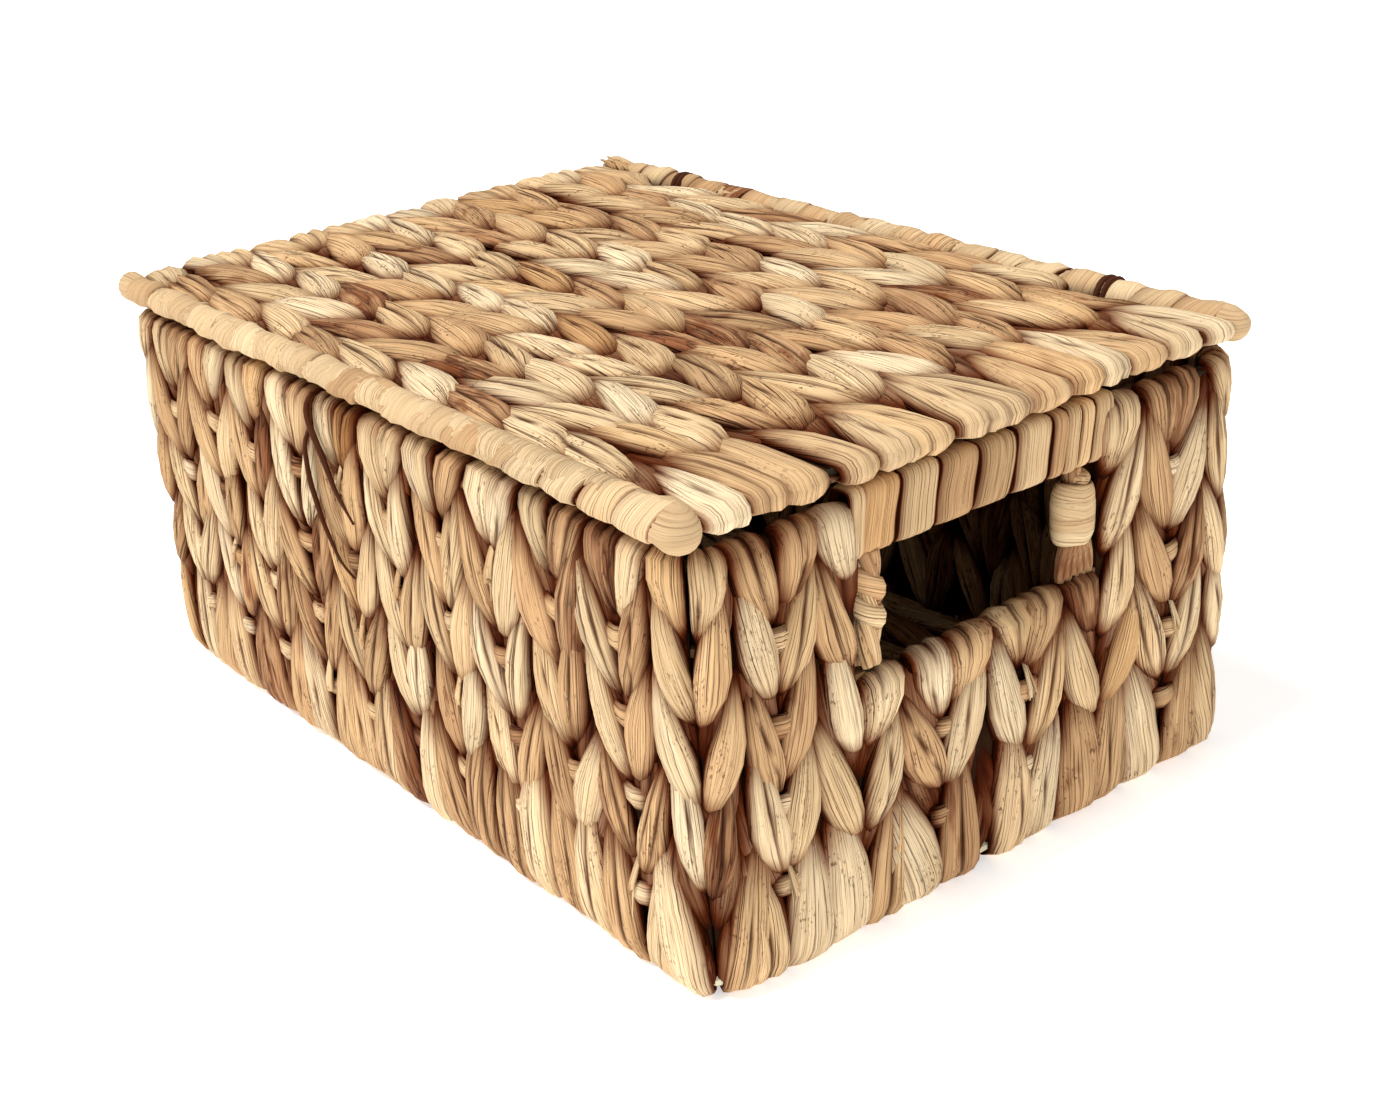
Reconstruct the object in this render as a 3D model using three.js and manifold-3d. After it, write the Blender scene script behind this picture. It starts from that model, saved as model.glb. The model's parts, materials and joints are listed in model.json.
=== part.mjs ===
// Woven lidded storage box: dried leaf bundles twined in herringbone columns over a wire frame.
// Millimetres, +Z up. X runs along the length, the front is at -Y, and the lid hinges at the back.
// The origin lies on the ground under the middle of the box.

import * as THREE from 'three';
import { mergeVertices } from 'three/addons/utils/BufferGeometryUtils.js';
import Module from 'manifold-3d';

const wasm = await Module();
wasm.setup();

// Driving sizes of the box
const box_length = 440;
const box_width = 300;
const wall_height = 187;
const wall_thickness = 17;
const wall_relief = 4.5;
const inner_corner_radius = 4;
const pressed_flat = 2.8;

// Driving sizes of the flat panels: the lid and the base
const panel_thickness = 11.4;
const panel_relief = 2.6;
const lid_seat_gap = 0.3;
const base_side_gap = 1.8;

// Gauge of the twining
const column_width = 19.5;
const wall_stitch_length = 34;
const panel_stitch_length = 39;
const base_stitch_length = 58;

// Wires and strands
const ring_wire_radius = 2.5;
const post_wire_radius = 2;
const handle_wire_radius = 2.2;
const cross_wire_radius = 1.8;
const lid_wire_radius = 1.8;
const warp_strand_radius = 1.6;
const tie_strand_radius = 1.1;
const wire_inset = 2;
const lid_wire_inset = 1.5;
const tie_to_cross_wire = 38;
const handle_bend_radius = 6;

// Hand holes in the two ends
const hand_hole_width = 92;
const hand_hole_height = 43;
const hand_hole_shift = -8;
const grip_height = 27;
const grip_thickness = 13;
const grip_drop = 1.5;
const grip_strip_width = 19;
const rope_wrap_width = 15;
const barrel_wrap_width = 24;
const upright_wrap_thickness = 14;
const rope_turn_height = 8;
const strip_seam_depth = 1;

// Lid rims and tie loops
const rim_strip_width = 20;
const rim_wraps = 3;
const rim_seam_depth = 0.7;
const rim_lump_spacing = 100;
const rim_end_rounding = 3;
const rim_to_weave_gap = 1.2;
const tie_end_distance = 72;
const tie_groove_radius = 3.2;

// Clearances, and the overrun of a cut
const clearance = 0.3;
const corner_slit = 1.5;
const cut_overrun = 5;

// Shares of a stitch, a wire section and a wrap, and how finely round forms are faceted
const ridge_across_share = 0.3;
const ridge_along_share = 0.62;
const octagon_bevel_share = 2 - Math.SQRT2;
const barrel_neck_share = 0.62;
const barrel_shoulder_share = 0.2;
const wire_bend_steps = 2;
const tie_arc_steps = 6;
const wrap_sides = 8;
const wire_rod_sides = 6;
const tunnel_rod_sides = 4;
const rim_sides = 8;

// Sizes that follow
const half_length = box_length / 2;
const half_width = box_width / 2;
const tie_offset = half_length - tie_end_distance;
const cross_wire_spacing = tie_offset - tie_to_cross_wire;
const corner_radius = wall_thickness + inner_corner_radius;
const wire_depth = wall_thickness / 2;
const wire_drop = wall_thickness / 2 + wire_inset;
const bottom_ring_z = wire_drop - pressed_flat;
const top_ring_z = wall_height - wire_drop;
const ring_bend_radius = corner_radius - wire_depth;
const hole_front = hand_hole_shift - hand_hole_width / 2;
const hole_back = hand_hole_shift + hand_hole_width / 2;
const frame_front = hole_front - rope_wrap_width;
const frame_back = hole_back + barrel_wrap_width;
const handle_wire_front = hole_front - rope_wrap_width / 2;
const handle_wire_back = hole_back + barrel_wrap_width / 2;
const grip_top = wall_height - grip_drop;
const grip_bottom = grip_top - grip_height;
const rail_height = grip_bottom - hand_hole_height;
const rail_wire_z = rail_height - wire_drop;
const lid_bottom = wall_height + lid_seat_gap;
const lid_top = lid_bottom + panel_thickness;
const lid_middle = (lid_bottom + lid_top) / 2;
const rim_radius = panel_thickness / 2;
const rim_y = half_width - rim_radius;
const lid_ring_x = half_length - rim_radius - lid_wire_inset;
const lid_ring_bend_radius = rim_radius;
const lid_weave_half_width = half_width - panel_thickness - rim_to_weave_gap;
const base_half_length = half_length - wall_thickness - base_side_gap;
const base_half_width = half_width - wall_thickness - base_side_gap;
const base_bottom = bottom_ring_z - panel_thickness / 2;
const cross_wire_places = [-cross_wire_spacing, 0, cross_wire_spacing];

// Finishes
const finishes = {
  leaf: { color: 0xc8a372, roughness: 0.72, metalness: 0 },
  paleLeaf: { color: 0xdcc294, roughness: 0.66, metalness: 0 },
  brownLeaf: { color: 0x4b2b1d, roughness: 0.7, metalness: 0 },
  wire: { color: 0x55574a, roughness: 0.45, metalness: 0.6 },
  creamWire: { color: 0xd8cfb0, roughness: 0.5, metalness: 0.2 },
};

// Booleans

function toSolid(geometry) {
  const bare = geometry.clone();
  bare.deleteAttribute('normal');
  bare.deleteAttribute('uv');
  const merged = mergeVertices(bare);
  return new wasm.Manifold(
    new wasm.Mesh({
      numProp: 3,
      vertProperties: new Float32Array(merged.attributes.position.array),
      triVerts: new Uint32Array(merged.index.array),
    }),
  );
}

function toGeometry(solid) {
  const mesh = solid.getMesh();
  const geometry = new THREE.BufferGeometry();
  geometry.setAttribute('position', new THREE.BufferAttribute(new Float32Array(mesh.vertProperties), 3));
  geometry.setIndex(new THREE.BufferAttribute(new Uint32Array(mesh.triVerts), 1));
  geometry.computeVertexNormals();
  return geometry;
}

function joined(solids) {
  return solids.reduce((whole, solid) => whole.add(solid));
}

// A cut near an edge can leave a crumb, which is dropped.
function withoutCrumbs(solid) {
  return solid.decompose().reduce((kept, body) => (body.volume() > kept.volume() ? body : kept));
}

function boxSolid(low, high) {
  const size = new THREE.Vector3().subVectors(high, low);
  const middle = new THREE.Vector3().addVectors(low, high).multiplyScalar(1 / 2);
  return toSolid(new THREE.BoxGeometry(size.x, size.y, size.z).translate(middle.x, middle.y, middle.z));
}

// Twining

// The stitches run once round a flat loop: up the outer side, over the top fold, down the inner
// side and round the bottom fold. A level is one stitch on the sides and a quarter turn on a fold.
function foldedLoop(thickness, relief, low, high, stitch_length, ridged) {
  const fold = thickness / 2;
  const straight = high - low - thickness;
  const stitches = Math.max(1, Math.round(straight / stitch_length));
  const levels = 2 * stitches + 4;
  const core = fold - relief;
  function at(level, lift) {
    const around = ((level % levels) + levels) % levels;
    const reach = core + lift;
    const stage = around < stitches + 2 ? around : around - stitches - 2;
    const side = around < stitches + 2 ? -1 : 1;
    if (stage <= stitches) {
      const rise = (straight * stage) / stitches;
      const along = side < 0 ? low + fold + rise : high - fold - rise;
      return { depth: fold + side * reach, along };
    }
    const turn = ((stage - stitches) * Math.PI) / 2;
    const centre = side < 0 ? high - fold : low + fold;
    return {
      depth: fold + side * reach * Math.cos(turn),
      along: centre - side * reach * Math.sin(turn),
    };
  }
  return { at, levels, relief, ridged_levels: ridged ? stitches - 1 : 0 };
}

// Columns of leaf-shaped stitches between two ends of a wall. Neighbouring columns slant opposite
// ways, so that their stitches meet in nested V's, and they come in pairs, so that a V stands at
// each end. A stitch is a long diamond. On the outer side it has a ridge from tip to tip, and on the
// folds and the inner side a single crown.
function twinedSolid(loop, place, from, to) {
  const pairs = Math.max(1, Math.round((to - from) / (2 * column_width)));
  const columns = 2 * pairs;
  const width = (to - from) / columns;
  const points = [];
  const faces = [];
  function point(column, level, lift) {
    const spot = loop.at(level, lift);
    points.push(place(from + column * width, spot.depth, spot.along));
    return points.length - 1;
  }
  const edges = [];
  for (let column = 0; column <= columns; column += 1) {
    const edge = [];
    for (let level = 0; level < loop.levels; level += 1) {
      edge.push(point(column, level, 0));
    }
    edges.push(edge);
  }
  const corner = (column, level) => edges[column][level % loop.levels];
  for (let column = 0; column < columns; column += 1) {
    const low_side = column % 2;
    const low_share = low_side === 0 ? ridge_across_share : 1 - ridge_across_share;
    for (let level = 0; level < loop.levels; level += 1) {
      const tip_low = corner(column + low_side, level);
      const tip_high = corner(column + 1 - low_side, level + 2);
      const side_left = corner(column, level + 1);
      const side_right = corner(column + 1, level + 1);
      if (level < loop.ridged_levels) {
        const ridge_low = point(column + low_share, level + ridge_along_share, loop.relief);
        const ridge_high = point(column + 1 - low_share, level + 2 - ridge_along_share, loop.relief);
        faces.push([tip_low, side_right, ridge_low]);
        faces.push([side_right, ridge_high, ridge_low]);
        faces.push([side_right, tip_high, ridge_high]);
        faces.push([tip_high, side_left, ridge_high]);
        faces.push([side_left, ridge_low, ridge_high]);
        faces.push([side_left, tip_low, ridge_low]);
      } else {
        const crown = point(column + 1 / 2, level + 1, loop.relief);
        faces.push([tip_low, side_right, crown]);
        faces.push([side_right, tip_high, crown]);
        faces.push([tip_high, side_left, crown]);
        faces.push([side_left, tip_low, crown]);
      }
    }
  }
  for (let level = 1; level < loop.levels - 1; level += 1) {
    faces.push([corner(0, 0), corner(0, level), corner(0, level + 1)]);
    faces.push([corner(columns, 0), corner(columns, level + 1), corner(columns, level)]);
  }
  const geometry = new THREE.BufferGeometry();
  geometry.setFromPoints(points);
  geometry.setIndex(faces.flat());
  return toSolid(geometry);
}

// A place on a wall: a distance along its outer face from the middle, a depth into it and a height.
// Past the straight stretch the wall bends round the box's corner.
function wallPlace(quarter_turns) {
  const ends = quarter_turns % 2 === 1;
  const reach = ends ? half_length : half_width;
  const straight = wallStraight(quarter_turns);
  const facing = (quarter_turns * Math.PI) / 2;
  return (distance, depth, height) => {
    const past = Math.max(0, Math.abs(distance) - straight);
    const bend = past / corner_radius;
    const arm = corner_radius - depth;
    const along = past > 0 ? straight + arm * Math.sin(bend) : Math.abs(distance);
    const out = past > 0 ? reach - corner_radius + arm * Math.cos(bend) : reach - depth;
    const spot = new THREE.Vector3(Math.sign(distance) * along, -out, height);
    return spot.applyAxisAngle(new THREE.Vector3(0, 0, 1), facing);
  };
}

function wallStraight(quarter_turns) {
  return (quarter_turns % 2 === 1 ? half_width : half_length) - corner_radius;
}

// A wall ends short of the corner's diagonal, which leaves a slit for the corner post to show in.
function wallEnd(quarter_turns) {
  return wallStraight(quarter_turns) + (corner_radius * Math.PI) / 4 - corner_slit / 2;
}

// The bottom fold is pressed flat on the ground by the box's own weight.
function wallBlock(quarter_turns, from, to, height) {
  const loop = foldedLoop(wall_thickness, wall_relief, -pressed_flat, height, wall_stitch_length, true);
  const block = twinedSolid(loop, wallPlace(quarter_turns), from, to);
  return withoutCrumbs(block.trimByPlane([0, 0, 1], 0).subtract(wallTunnels));
}

// Wires and strands: flat runs of straights and round bends. A wire's section has eight sides, a
// strand's and a tunnel's four. A tunnel is the clear way that a wire needs through the weave.

const asWire = (radius) => ({
  half: radius,
  bevel: radius * octagon_bevel_share,
  rod_sides: wire_rod_sides,
  rod_reach: radius,
  end_gap: clearance,
});

const asStrand = (radius) => ({ half: radius, bevel: 0, end_gap: clearance });

const asTunnel = (radius) => ({
  half: radius + clearance,
  bevel: 0,
  rod_sides: tunnel_rod_sides,
  rod_reach: (radius + clearance) * Math.SQRT2,
  end_gap: 0,
});

function bentRun(corners, bend_radius, closed) {
  const stations = [];
  const count = corners.length;
  for (let index = 0; index < count; index += 1) {
    const here = corners[index];
    const before = corners[(index + count - 1) % count];
    const after = corners[(index + 1) % count];
    const arriving = new THREE.Vector2().subVectors(here, before).normalize();
    const leaving = new THREE.Vector2().subVectors(after, here).normalize();
    if (!closed && index === 0) {
      stations.push({ point: here, normal: new THREE.Vector2(leaving.y, -leaving.x) });
      continue;
    }
    if (!closed && index === count - 1) {
      stations.push({ point: here, normal: new THREE.Vector2(arriving.y, -arriving.x) });
      continue;
    }
    const turn = Math.sign(arriving.cross(leaving));
    const arm = new THREE.Vector2(arriving.y, -arriving.x).multiplyScalar(turn);
    const centre = here.clone().addScaledVector(arriving, -bend_radius).addScaledVector(arm, -bend_radius);
    for (let step = 0; step <= wire_bend_steps; step += 1) {
      const angle = (turn * step * Math.PI) / (2 * wire_bend_steps);
      const out = arm.clone().rotateAround(new THREE.Vector2(), angle);
      stations.push({
        point: centre.clone().addScaledVector(out, bend_radius),
        normal: out.clone().multiplyScalar(turn),
      });
    }
  }
  return stations;
}

function runGeometry(stations, section, closed) {
  const { bevel } = section;
  const flat = section.half - bevel;
  const right = stations.map(({ point, normal }) => point.clone().addScaledVector(normal, flat));
  const left = stations.map(({ point, normal }) => point.clone().addScaledVector(normal, -flat));
  const shape = new THREE.Shape(closed ? right : [...right, ...left.reverse()]);
  if (closed) {
    shape.holes.push(new THREE.Path(left));
  }
  const geometry = new THREE.ExtrudeGeometry(shape, {
    depth: 2 * flat,
    bevelEnabled: bevel > 0,
    bevelThickness: bevel,
    bevelSize: bevel,
    bevelSegments: 1,
  });
  return geometry.translate(0, 0, -flat);
}

function rectangleCorners(half_x, half_y) {
  return [
    new THREE.Vector2(half_x, -half_y),
    new THREE.Vector2(half_x, half_y),
    new THREE.Vector2(-half_x, half_y),
    new THREE.Vector2(-half_x, -half_y),
  ];
}

function ringGeometry(half_x, half_y, bend_radius, height, section) {
  const stations = bentRun(rectangleCorners(half_x, half_y), bend_radius, true);
  return runGeometry(stations, section, true).translate(0, 0, height);
}

function bodyRing(height, section) {
  return ringGeometry(half_length - wire_depth, half_width - wire_depth, ring_bend_radius, height, section);
}

function lidRing(section) {
  return ringGeometry(lid_ring_x, rim_y, lid_ring_bend_radius, lid_middle, section);
}

// Stands a flat run up, so that its first axis is Y and its second is Z.
function standUp(geometry) {
  const axes = new THREE.Matrix4().makeBasis(
    new THREE.Vector3(0, 1, 0),
    new THREE.Vector3(0, 0, 1),
    new THREE.Vector3(1, 0, 0),
  );
  return geometry.applyMatrix4(axes);
}

function rod(from, to, section) {
  const length = new THREE.Vector3().subVectors(to, from);
  const reach = section.rod_reach;
  const geometry = new THREE.CylinderGeometry(reach, reach, length.length(), section.rod_sides);
  const turn = new THREE.Quaternion().setFromUnitVectors(new THREE.Vector3(0, 1, 0), length.normalize());
  const middle = new THREE.Vector3().addVectors(from, to).multiplyScalar(1 / 2);
  return geometry.applyQuaternion(turn).translate(middle.x, middle.y, middle.z);
}

// The post at a corner stands inside the two rings, on the corner's diagonal.
function cornerPost({ side_x, side_y }, section) {
  const depth = wire_depth + ring_wire_radius + clearance + post_wire_radius;
  const arm = (corner_radius - depth) * Math.SQRT1_2;
  const x = side_x * (half_length - corner_radius + arm);
  const y = side_y * (half_width - corner_radius + arm);
  const low = new THREE.Vector3(x, y, bottom_ring_z - ring_wire_radius);
  const high = new THREE.Vector3(x, y, top_ring_z + ring_wire_radius);
  return rod(low, high, section);
}

function handleWire(side, section) {
  const top = top_ring_z - ring_wire_radius - section.end_gap - section.bevel;
  const corners = [
    new THREE.Vector2(handle_wire_front, top),
    new THREE.Vector2(handle_wire_front, rail_wire_z),
    new THREE.Vector2(handle_wire_back, rail_wire_z),
    new THREE.Vector2(handle_wire_back, top),
  ];
  const stations = bentRun(corners, handle_bend_radius, false);
  return standUp(runGeometry(stations, section, false)).translate(side * (half_length - wire_depth), 0, 0);
}

function baseCrossWire(place, section) {
  const reach = half_width - wire_depth - ring_wire_radius - clearance;
  const from = new THREE.Vector3(place, -reach, bottom_ring_z);
  const to = new THREE.Vector3(place, reach, bottom_ring_z);
  return rod(from, to, section);
}

function lidCrossWire(place, section) {
  const reach = rim_y - lid_wire_radius - clearance;
  const from = new THREE.Vector3(place, -reach, lid_middle);
  const to = new THREE.Vector3(place, reach, lid_middle);
  return rod(from, to, section);
}

// A warp strand above the rail goes round one half of the box, from one hand hole to the other,
// and ends against the upright wires of the two hand holes.
function splitWarp(height, side_y, section) {
  const upright = side_y < 0 ? handle_wire_front : handle_wire_back;
  const stop = upright + side_y * (handle_wire_radius + section.end_gap);
  const reach_x = half_length - wire_depth;
  const reach_y = side_y * (half_width - wire_depth);
  const corners = [
    new THREE.Vector2(-reach_x, stop),
    new THREE.Vector2(-reach_x, reach_y),
    new THREE.Vector2(reach_x, reach_y),
    new THREE.Vector2(reach_x, stop),
  ];
  return runGeometry(bentRun(corners, ring_bend_radius, false), section, false).translate(0, 0, height);
}

// A tie loop runs like a belt round the lid's back rim and the body's top wire.
function tieLoop(place, section) {
  const upper = new THREE.Vector2(rim_y, lid_middle);
  const lower = new THREE.Vector2(half_width - wire_depth, top_ring_z);
  const upper_radius = tie_groove_radius + clearance + tie_strand_radius;
  const lower_radius = ring_wire_radius + clearance + tie_strand_radius;
  const between = new THREE.Vector2().subVectors(upper, lower);
  const tilt = Math.asin((upper_radius - lower_radius) / between.length());
  const heading = between.angle();
  const stations = [];
  function arc(centre, arm, start, sweep) {
    for (let step = 0; step <= tie_arc_steps; step += 1) {
      const angle = start + (sweep * step) / tie_arc_steps;
      const out = new THREE.Vector2(Math.cos(angle), Math.sin(angle));
      stations.push({ point: centre.clone().addScaledVector(out, arm), normal: out });
    }
  }
  const lean = Math.PI / 2 + tilt;
  arc(upper, upper_radius, heading - lean, 2 * lean);
  arc(lower, lower_radius, heading + lean, 2 * (Math.PI - lean));
  return standUp(runGeometry(stations, section, true)).translate(place, 0, 0);
}

// Everything that runs inside the woven walls, with its clearance
const wall_straight = wall_height + pressed_flat - wall_thickness;
const wall_stitches = Math.round(wall_straight / wall_stitch_length);
const warp_step = wall_straight / wall_stitches;
const first_warp_z = wall_thickness / 2 - pressed_flat;
const ring_warps = [];
const split_warps = [];
for (let level = 1; level < wall_stitches; level += 1) {
  const height = first_warp_z + level * warp_step;
  const below_rail = height < rail_wire_z - handle_wire_radius - warp_strand_radius - clearance;
  (below_rail ? ring_warps : split_warps).push(height);
}
const corners_of_box = [
  { name: 'front_right', side_x: 1, side_y: -1 },
  { name: 'back_right', side_x: 1, side_y: 1 },
  { name: 'back_left', side_x: -1, side_y: 1 },
  { name: 'front_left', side_x: -1, side_y: -1 },
];

const baseTunnels = joined(
  cross_wire_places.map((place) => toSolid(baseCrossWire(place, asTunnel(cross_wire_radius)))),
);

const wallTunnels = joined([
  baseTunnels,
  toSolid(bodyRing(bottom_ring_z, asTunnel(ring_wire_radius))),
  toSolid(bodyRing(top_ring_z, asTunnel(ring_wire_radius))),
  ...ring_warps.map((height) => toSolid(bodyRing(height, asTunnel(warp_strand_radius)))),
  ...split_warps.flatMap((height) =>
    [-1, 1].map((side) => toSolid(splitWarp(height, side, asTunnel(warp_strand_radius)))),
  ),
  ...corners_of_box.map((corner) => toSolid(cornerPost(corner, asTunnel(post_wire_radius)))),
  ...[-1, 1].map((side) => toSolid(handleWire(side, asTunnel(handle_wire_radius)))),
  ...[-1, 1].map((side) => toSolid(tieLoop(side * tie_offset, asTunnel(tie_strand_radius)))),
]);

const lidTunnels = joined([
  toSolid(lidRing(asTunnel(lid_wire_radius))),
  ...cross_wire_places.map((place) => toSolid(lidCrossWire(place, asTunnel(cross_wire_radius)))),
]);

// Flat panels

function lidWeave() {
  const low = -half_length;
  const loop = foldedLoop(panel_thickness, panel_relief, low, half_length, panel_stitch_length, true);
  const place = (distance, depth, along) => new THREE.Vector3(along, -distance, lid_top - depth);
  const weave = twinedSolid(loop, place, -lid_weave_half_width, lid_weave_half_width);
  const notch_half = tie_strand_radius + clearance;
  const notches = [-1, 1].map((side) =>
    boxSolid(
      new THREE.Vector3(side * tie_offset - notch_half, rim_y - panel_thickness, lid_bottom - cut_overrun),
      new THREE.Vector3(side * tie_offset + notch_half, rim_y, lid_top + cut_overrun),
    ),
  );
  return weave.subtract(lidTunnels).subtract(joined(notches));
}

function baseWeave() {
  const low = -base_half_length;
  const loop = foldedLoop(panel_thickness, panel_relief, low, base_half_length, base_stitch_length, false);
  const place = (distance, depth, along) => new THREE.Vector3(along, distance, base_bottom + depth);
  const weave = twinedSolid(loop, place, -base_half_width, base_half_width);
  return weave.subtract(baseTunnels);
}

// Wraps: flat strips wound round a wire, each as a low barrel between two seams

function woundProfile(length, radius, turn_length, seam_depth) {
  const turns = Math.max(1, Math.round(length / turn_length));
  const profile = [new THREE.Vector2(0, 0)];
  for (let turn = 0; turn < turns; turn += 1) {
    const seam = (length * turn) / turns;
    profile.push(new THREE.Vector2(radius - seam_depth, seam));
    profile.push(new THREE.Vector2(radius, seam + length / turns / 2));
  }
  profile.push(new THREE.Vector2(radius - seam_depth, length));
  profile.push(new THREE.Vector2(0, length));
  return profile;
}

// Turns a profile about Y with a flat facing each way, so its half width is its given radius.
function turned(profile, sides) {
  const flat_to_corner = 1 / Math.cos(Math.PI / sides);
  const geometry = new THREE.LatheGeometry(profile, sides, Math.PI / sides);
  return geometry.scale(flat_to_corner, 1, flat_to_corner);
}

function gripWrap(side) {
  const length = frame_back - frame_front - 2 * clearance;
  const profile = woundProfile(length, grip_thickness / 2, grip_strip_width, strip_seam_depth);
  const geometry = turned(profile, wrap_sides).scale(1, 1, grip_height / grip_thickness);
  const x = side * (half_length - wire_depth);
  geometry.translate(x, frame_front + clearance, (grip_bottom + grip_top) / 2);
  return toSolid(geometry).subtract(wallTunnels);
}

function uprightWrap(profile, width, y, side) {
  const geometry = turned(profile, wrap_sides).scale(width / upright_wrap_thickness, 1, 1);
  geometry.rotateX(Math.PI / 2);
  geometry.rotateZ(Math.PI / 2);
  geometry.translate(side * (half_length - wire_depth), y, rail_height + clearance);
  return toSolid(geometry).subtract(wallTunnels);
}

function ropeWrap(side) {
  const length = hand_hole_height - 2 * clearance;
  const radius = upright_wrap_thickness / 2;
  const profile = woundProfile(length, radius, rope_turn_height, strip_seam_depth);
  return uprightWrap(profile, rope_wrap_width, handle_wire_front, side);
}

function barrelWrap(side) {
  const length = hand_hole_height - 2 * clearance;
  const radius = upright_wrap_thickness / 2;
  const profile = [
    new THREE.Vector2(0, 0),
    new THREE.Vector2(radius * barrel_neck_share, 0),
    new THREE.Vector2(radius * barrel_neck_share, length * barrel_shoulder_share / 2),
    new THREE.Vector2(radius - strip_seam_depth, length * barrel_shoulder_share),
    new THREE.Vector2(radius, length / 2),
    new THREE.Vector2(radius - strip_seam_depth, length * (1 - barrel_shoulder_share)),
    new THREE.Vector2(radius * barrel_neck_share, length * (1 - barrel_shoulder_share / 2)),
    new THREE.Vector2(radius * barrel_neck_share, length),
    new THREE.Vector2(0, length),
  ];
  return uprightWrap(profile, barrel_wrap_width, handle_wire_back, side);
}

// A lid rim is a long smooth rod, slightly lumpy, with wide wraps at its ends. The back one has a
// groove for each tie.
function rimProfile(grooves) {
  const seam = rim_radius - rim_seam_depth;
  const wrapped = rim_wraps * rim_strip_width;
  const smooth = box_length - 2 * wrapped;
  const lumps = Math.max(1, Math.round(smooth / rim_lump_spacing));
  const lump_length = smooth / lumps;
  let marks = [[box_length - wrapped, seam]];
  for (let wrap = 1; wrap < rim_wraps; wrap += 1) {
    const along = wrap * rim_strip_width;
    const crest = along + rim_strip_width / 2;
    marks.push([along, seam], [crest, rim_radius]);
    marks.push([box_length - along, seam], [box_length - crest, rim_radius]);
  }
  for (let lump = 0; lump < lumps; lump += 1) {
    const start = wrapped + lump * lump_length;
    marks.push([start, seam], [start + lump_length / 2, rim_radius]);
  }
  const half_groove = tie_strand_radius + clearance;
  for (const groove of grooves) {
    const middle = half_length + groove;
    marks = marks.filter(([along]) => Math.abs(along - middle) > 2 * half_groove);
    for (const side of [-1, 1]) {
      marks.push([middle + side * half_groove, tie_groove_radius]);
      marks.push([middle + side * (half_groove + clearance), rim_radius]);
    }
  }
  marks.sort((one, other) => one[0] - other[0]);
  return [
    [0, 0],
    [0, rim_radius - rim_end_rounding],
    [rim_end_rounding, rim_radius],
    ...marks,
    [box_length - rim_end_rounding, rim_radius],
    [box_length, rim_radius - rim_end_rounding],
    [box_length, 0],
  ].map(([along, radius]) => new THREE.Vector2(radius, along));
}

function lidRim(side_y, grooves) {
  const geometry = new THREE.LatheGeometry(rimProfile(grooves), rim_sides);
  geometry.rotateZ(-Math.PI / 2);
  geometry.translate(-half_length, side_y * rim_y, lid_middle);
  return toSolid(geometry).subtract(lidTunnels);
}

// Assembly

const box = new THREE.Group();
const body = new THREE.Group();
const lid = new THREE.Group();
box.add(body, lid);

function addPiece(group, name, geometry, finish) {
  const mesh = new THREE.Mesh(geometry, new THREE.MeshStandardMaterial(finishes[finish]));
  mesh.name = name;
  group.add(mesh);
}

function addWall(name, quarter_turns, from, to, height) {
  addPiece(body, name, toGeometry(wallBlock(quarter_turns, from, to, height)), 'leaf');
}

addPiece(body, 'bottom_ring_wire', bodyRing(bottom_ring_z, asWire(ring_wire_radius)), 'creamWire');
addPiece(body, 'top_ring_wire', bodyRing(top_ring_z, asWire(ring_wire_radius)), 'wire');
for (const corner of corners_of_box) {
  addPiece(body, `corner_post_${corner.name}`, cornerPost(corner, asWire(post_wire_radius)), 'wire');
}
ring_warps.forEach((height, index) => {
  addPiece(body, `warp_strand_${index + 1}`, bodyRing(height, asStrand(warp_strand_radius)), 'leaf');
});
split_warps.forEach((height, index) => {
  const number = ring_warps.length + index + 1;
  const strand = asStrand(warp_strand_radius);
  addPiece(body, `warp_strand_${number}_front`, splitWarp(height, -1, strand), 'leaf');
  addPiece(body, `warp_strand_${number}_back`, splitWarp(height, 1, strand), 'leaf');
});
cross_wire_places.forEach((place, index) => {
  addPiece(body, `base_cross_wire_${index + 1}`, baseCrossWire(place, asWire(cross_wire_radius)), 'wire');
});
addPiece(body, 'base_weave', toGeometry(baseWeave()), 'leaf');
addWall('front_weave', 0, -wallEnd(0), wallEnd(0), wall_height);
addWall('back_weave', 2, -wallEnd(2), wallEnd(2), wall_height);
for (const [end, side, quarter_turns] of [['right', 1, 1], ['left', -1, 3]]) {
  const stops = [-wallEnd(1), frame_front, frame_back, wallEnd(1)].map((stop) => side * stop);
  const blocks = [
    { name: `${end}_end_weave_front`, stops: [stops[0], stops[1] - side * clearance], height: wall_height },
    { name: `${end}_end_weave_under_grip`, stops: [stops[1], stops[2]], height: rail_height },
    { name: `${end}_end_weave_back`, stops: [stops[2] + side * clearance, stops[3]], height: wall_height },
  ];
  for (const block of blocks) {
    addWall(block.name, quarter_turns, Math.min(...block.stops), Math.max(...block.stops), block.height);
  }
  addPiece(body, `${end}_handle_wire`, handleWire(side, asWire(handle_wire_radius)), 'wire');
  addPiece(body, `${end}_grip_wrap`, toGeometry(gripWrap(side)), 'leaf');
  addPiece(body, `${end}_rope_wrap`, toGeometry(ropeWrap(side)), 'leaf');
  addPiece(body, `${end}_barrel_wrap`, toGeometry(barrelWrap(side)), 'paleLeaf');
  addPiece(body, `tie_loop_${end}`, tieLoop(side * tie_offset, asWire(tie_strand_radius)), 'brownLeaf');
}
addPiece(lid, 'lid_ring_wire', lidRing(asWire(lid_wire_radius)), 'wire');
cross_wire_places.forEach((place, index) => {
  addPiece(lid, `lid_cross_wire_${index + 1}`, lidCrossWire(place, asWire(cross_wire_radius)), 'wire');
});
addPiece(lid, 'lid_weave', toGeometry(lidWeave()), 'leaf');
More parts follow.
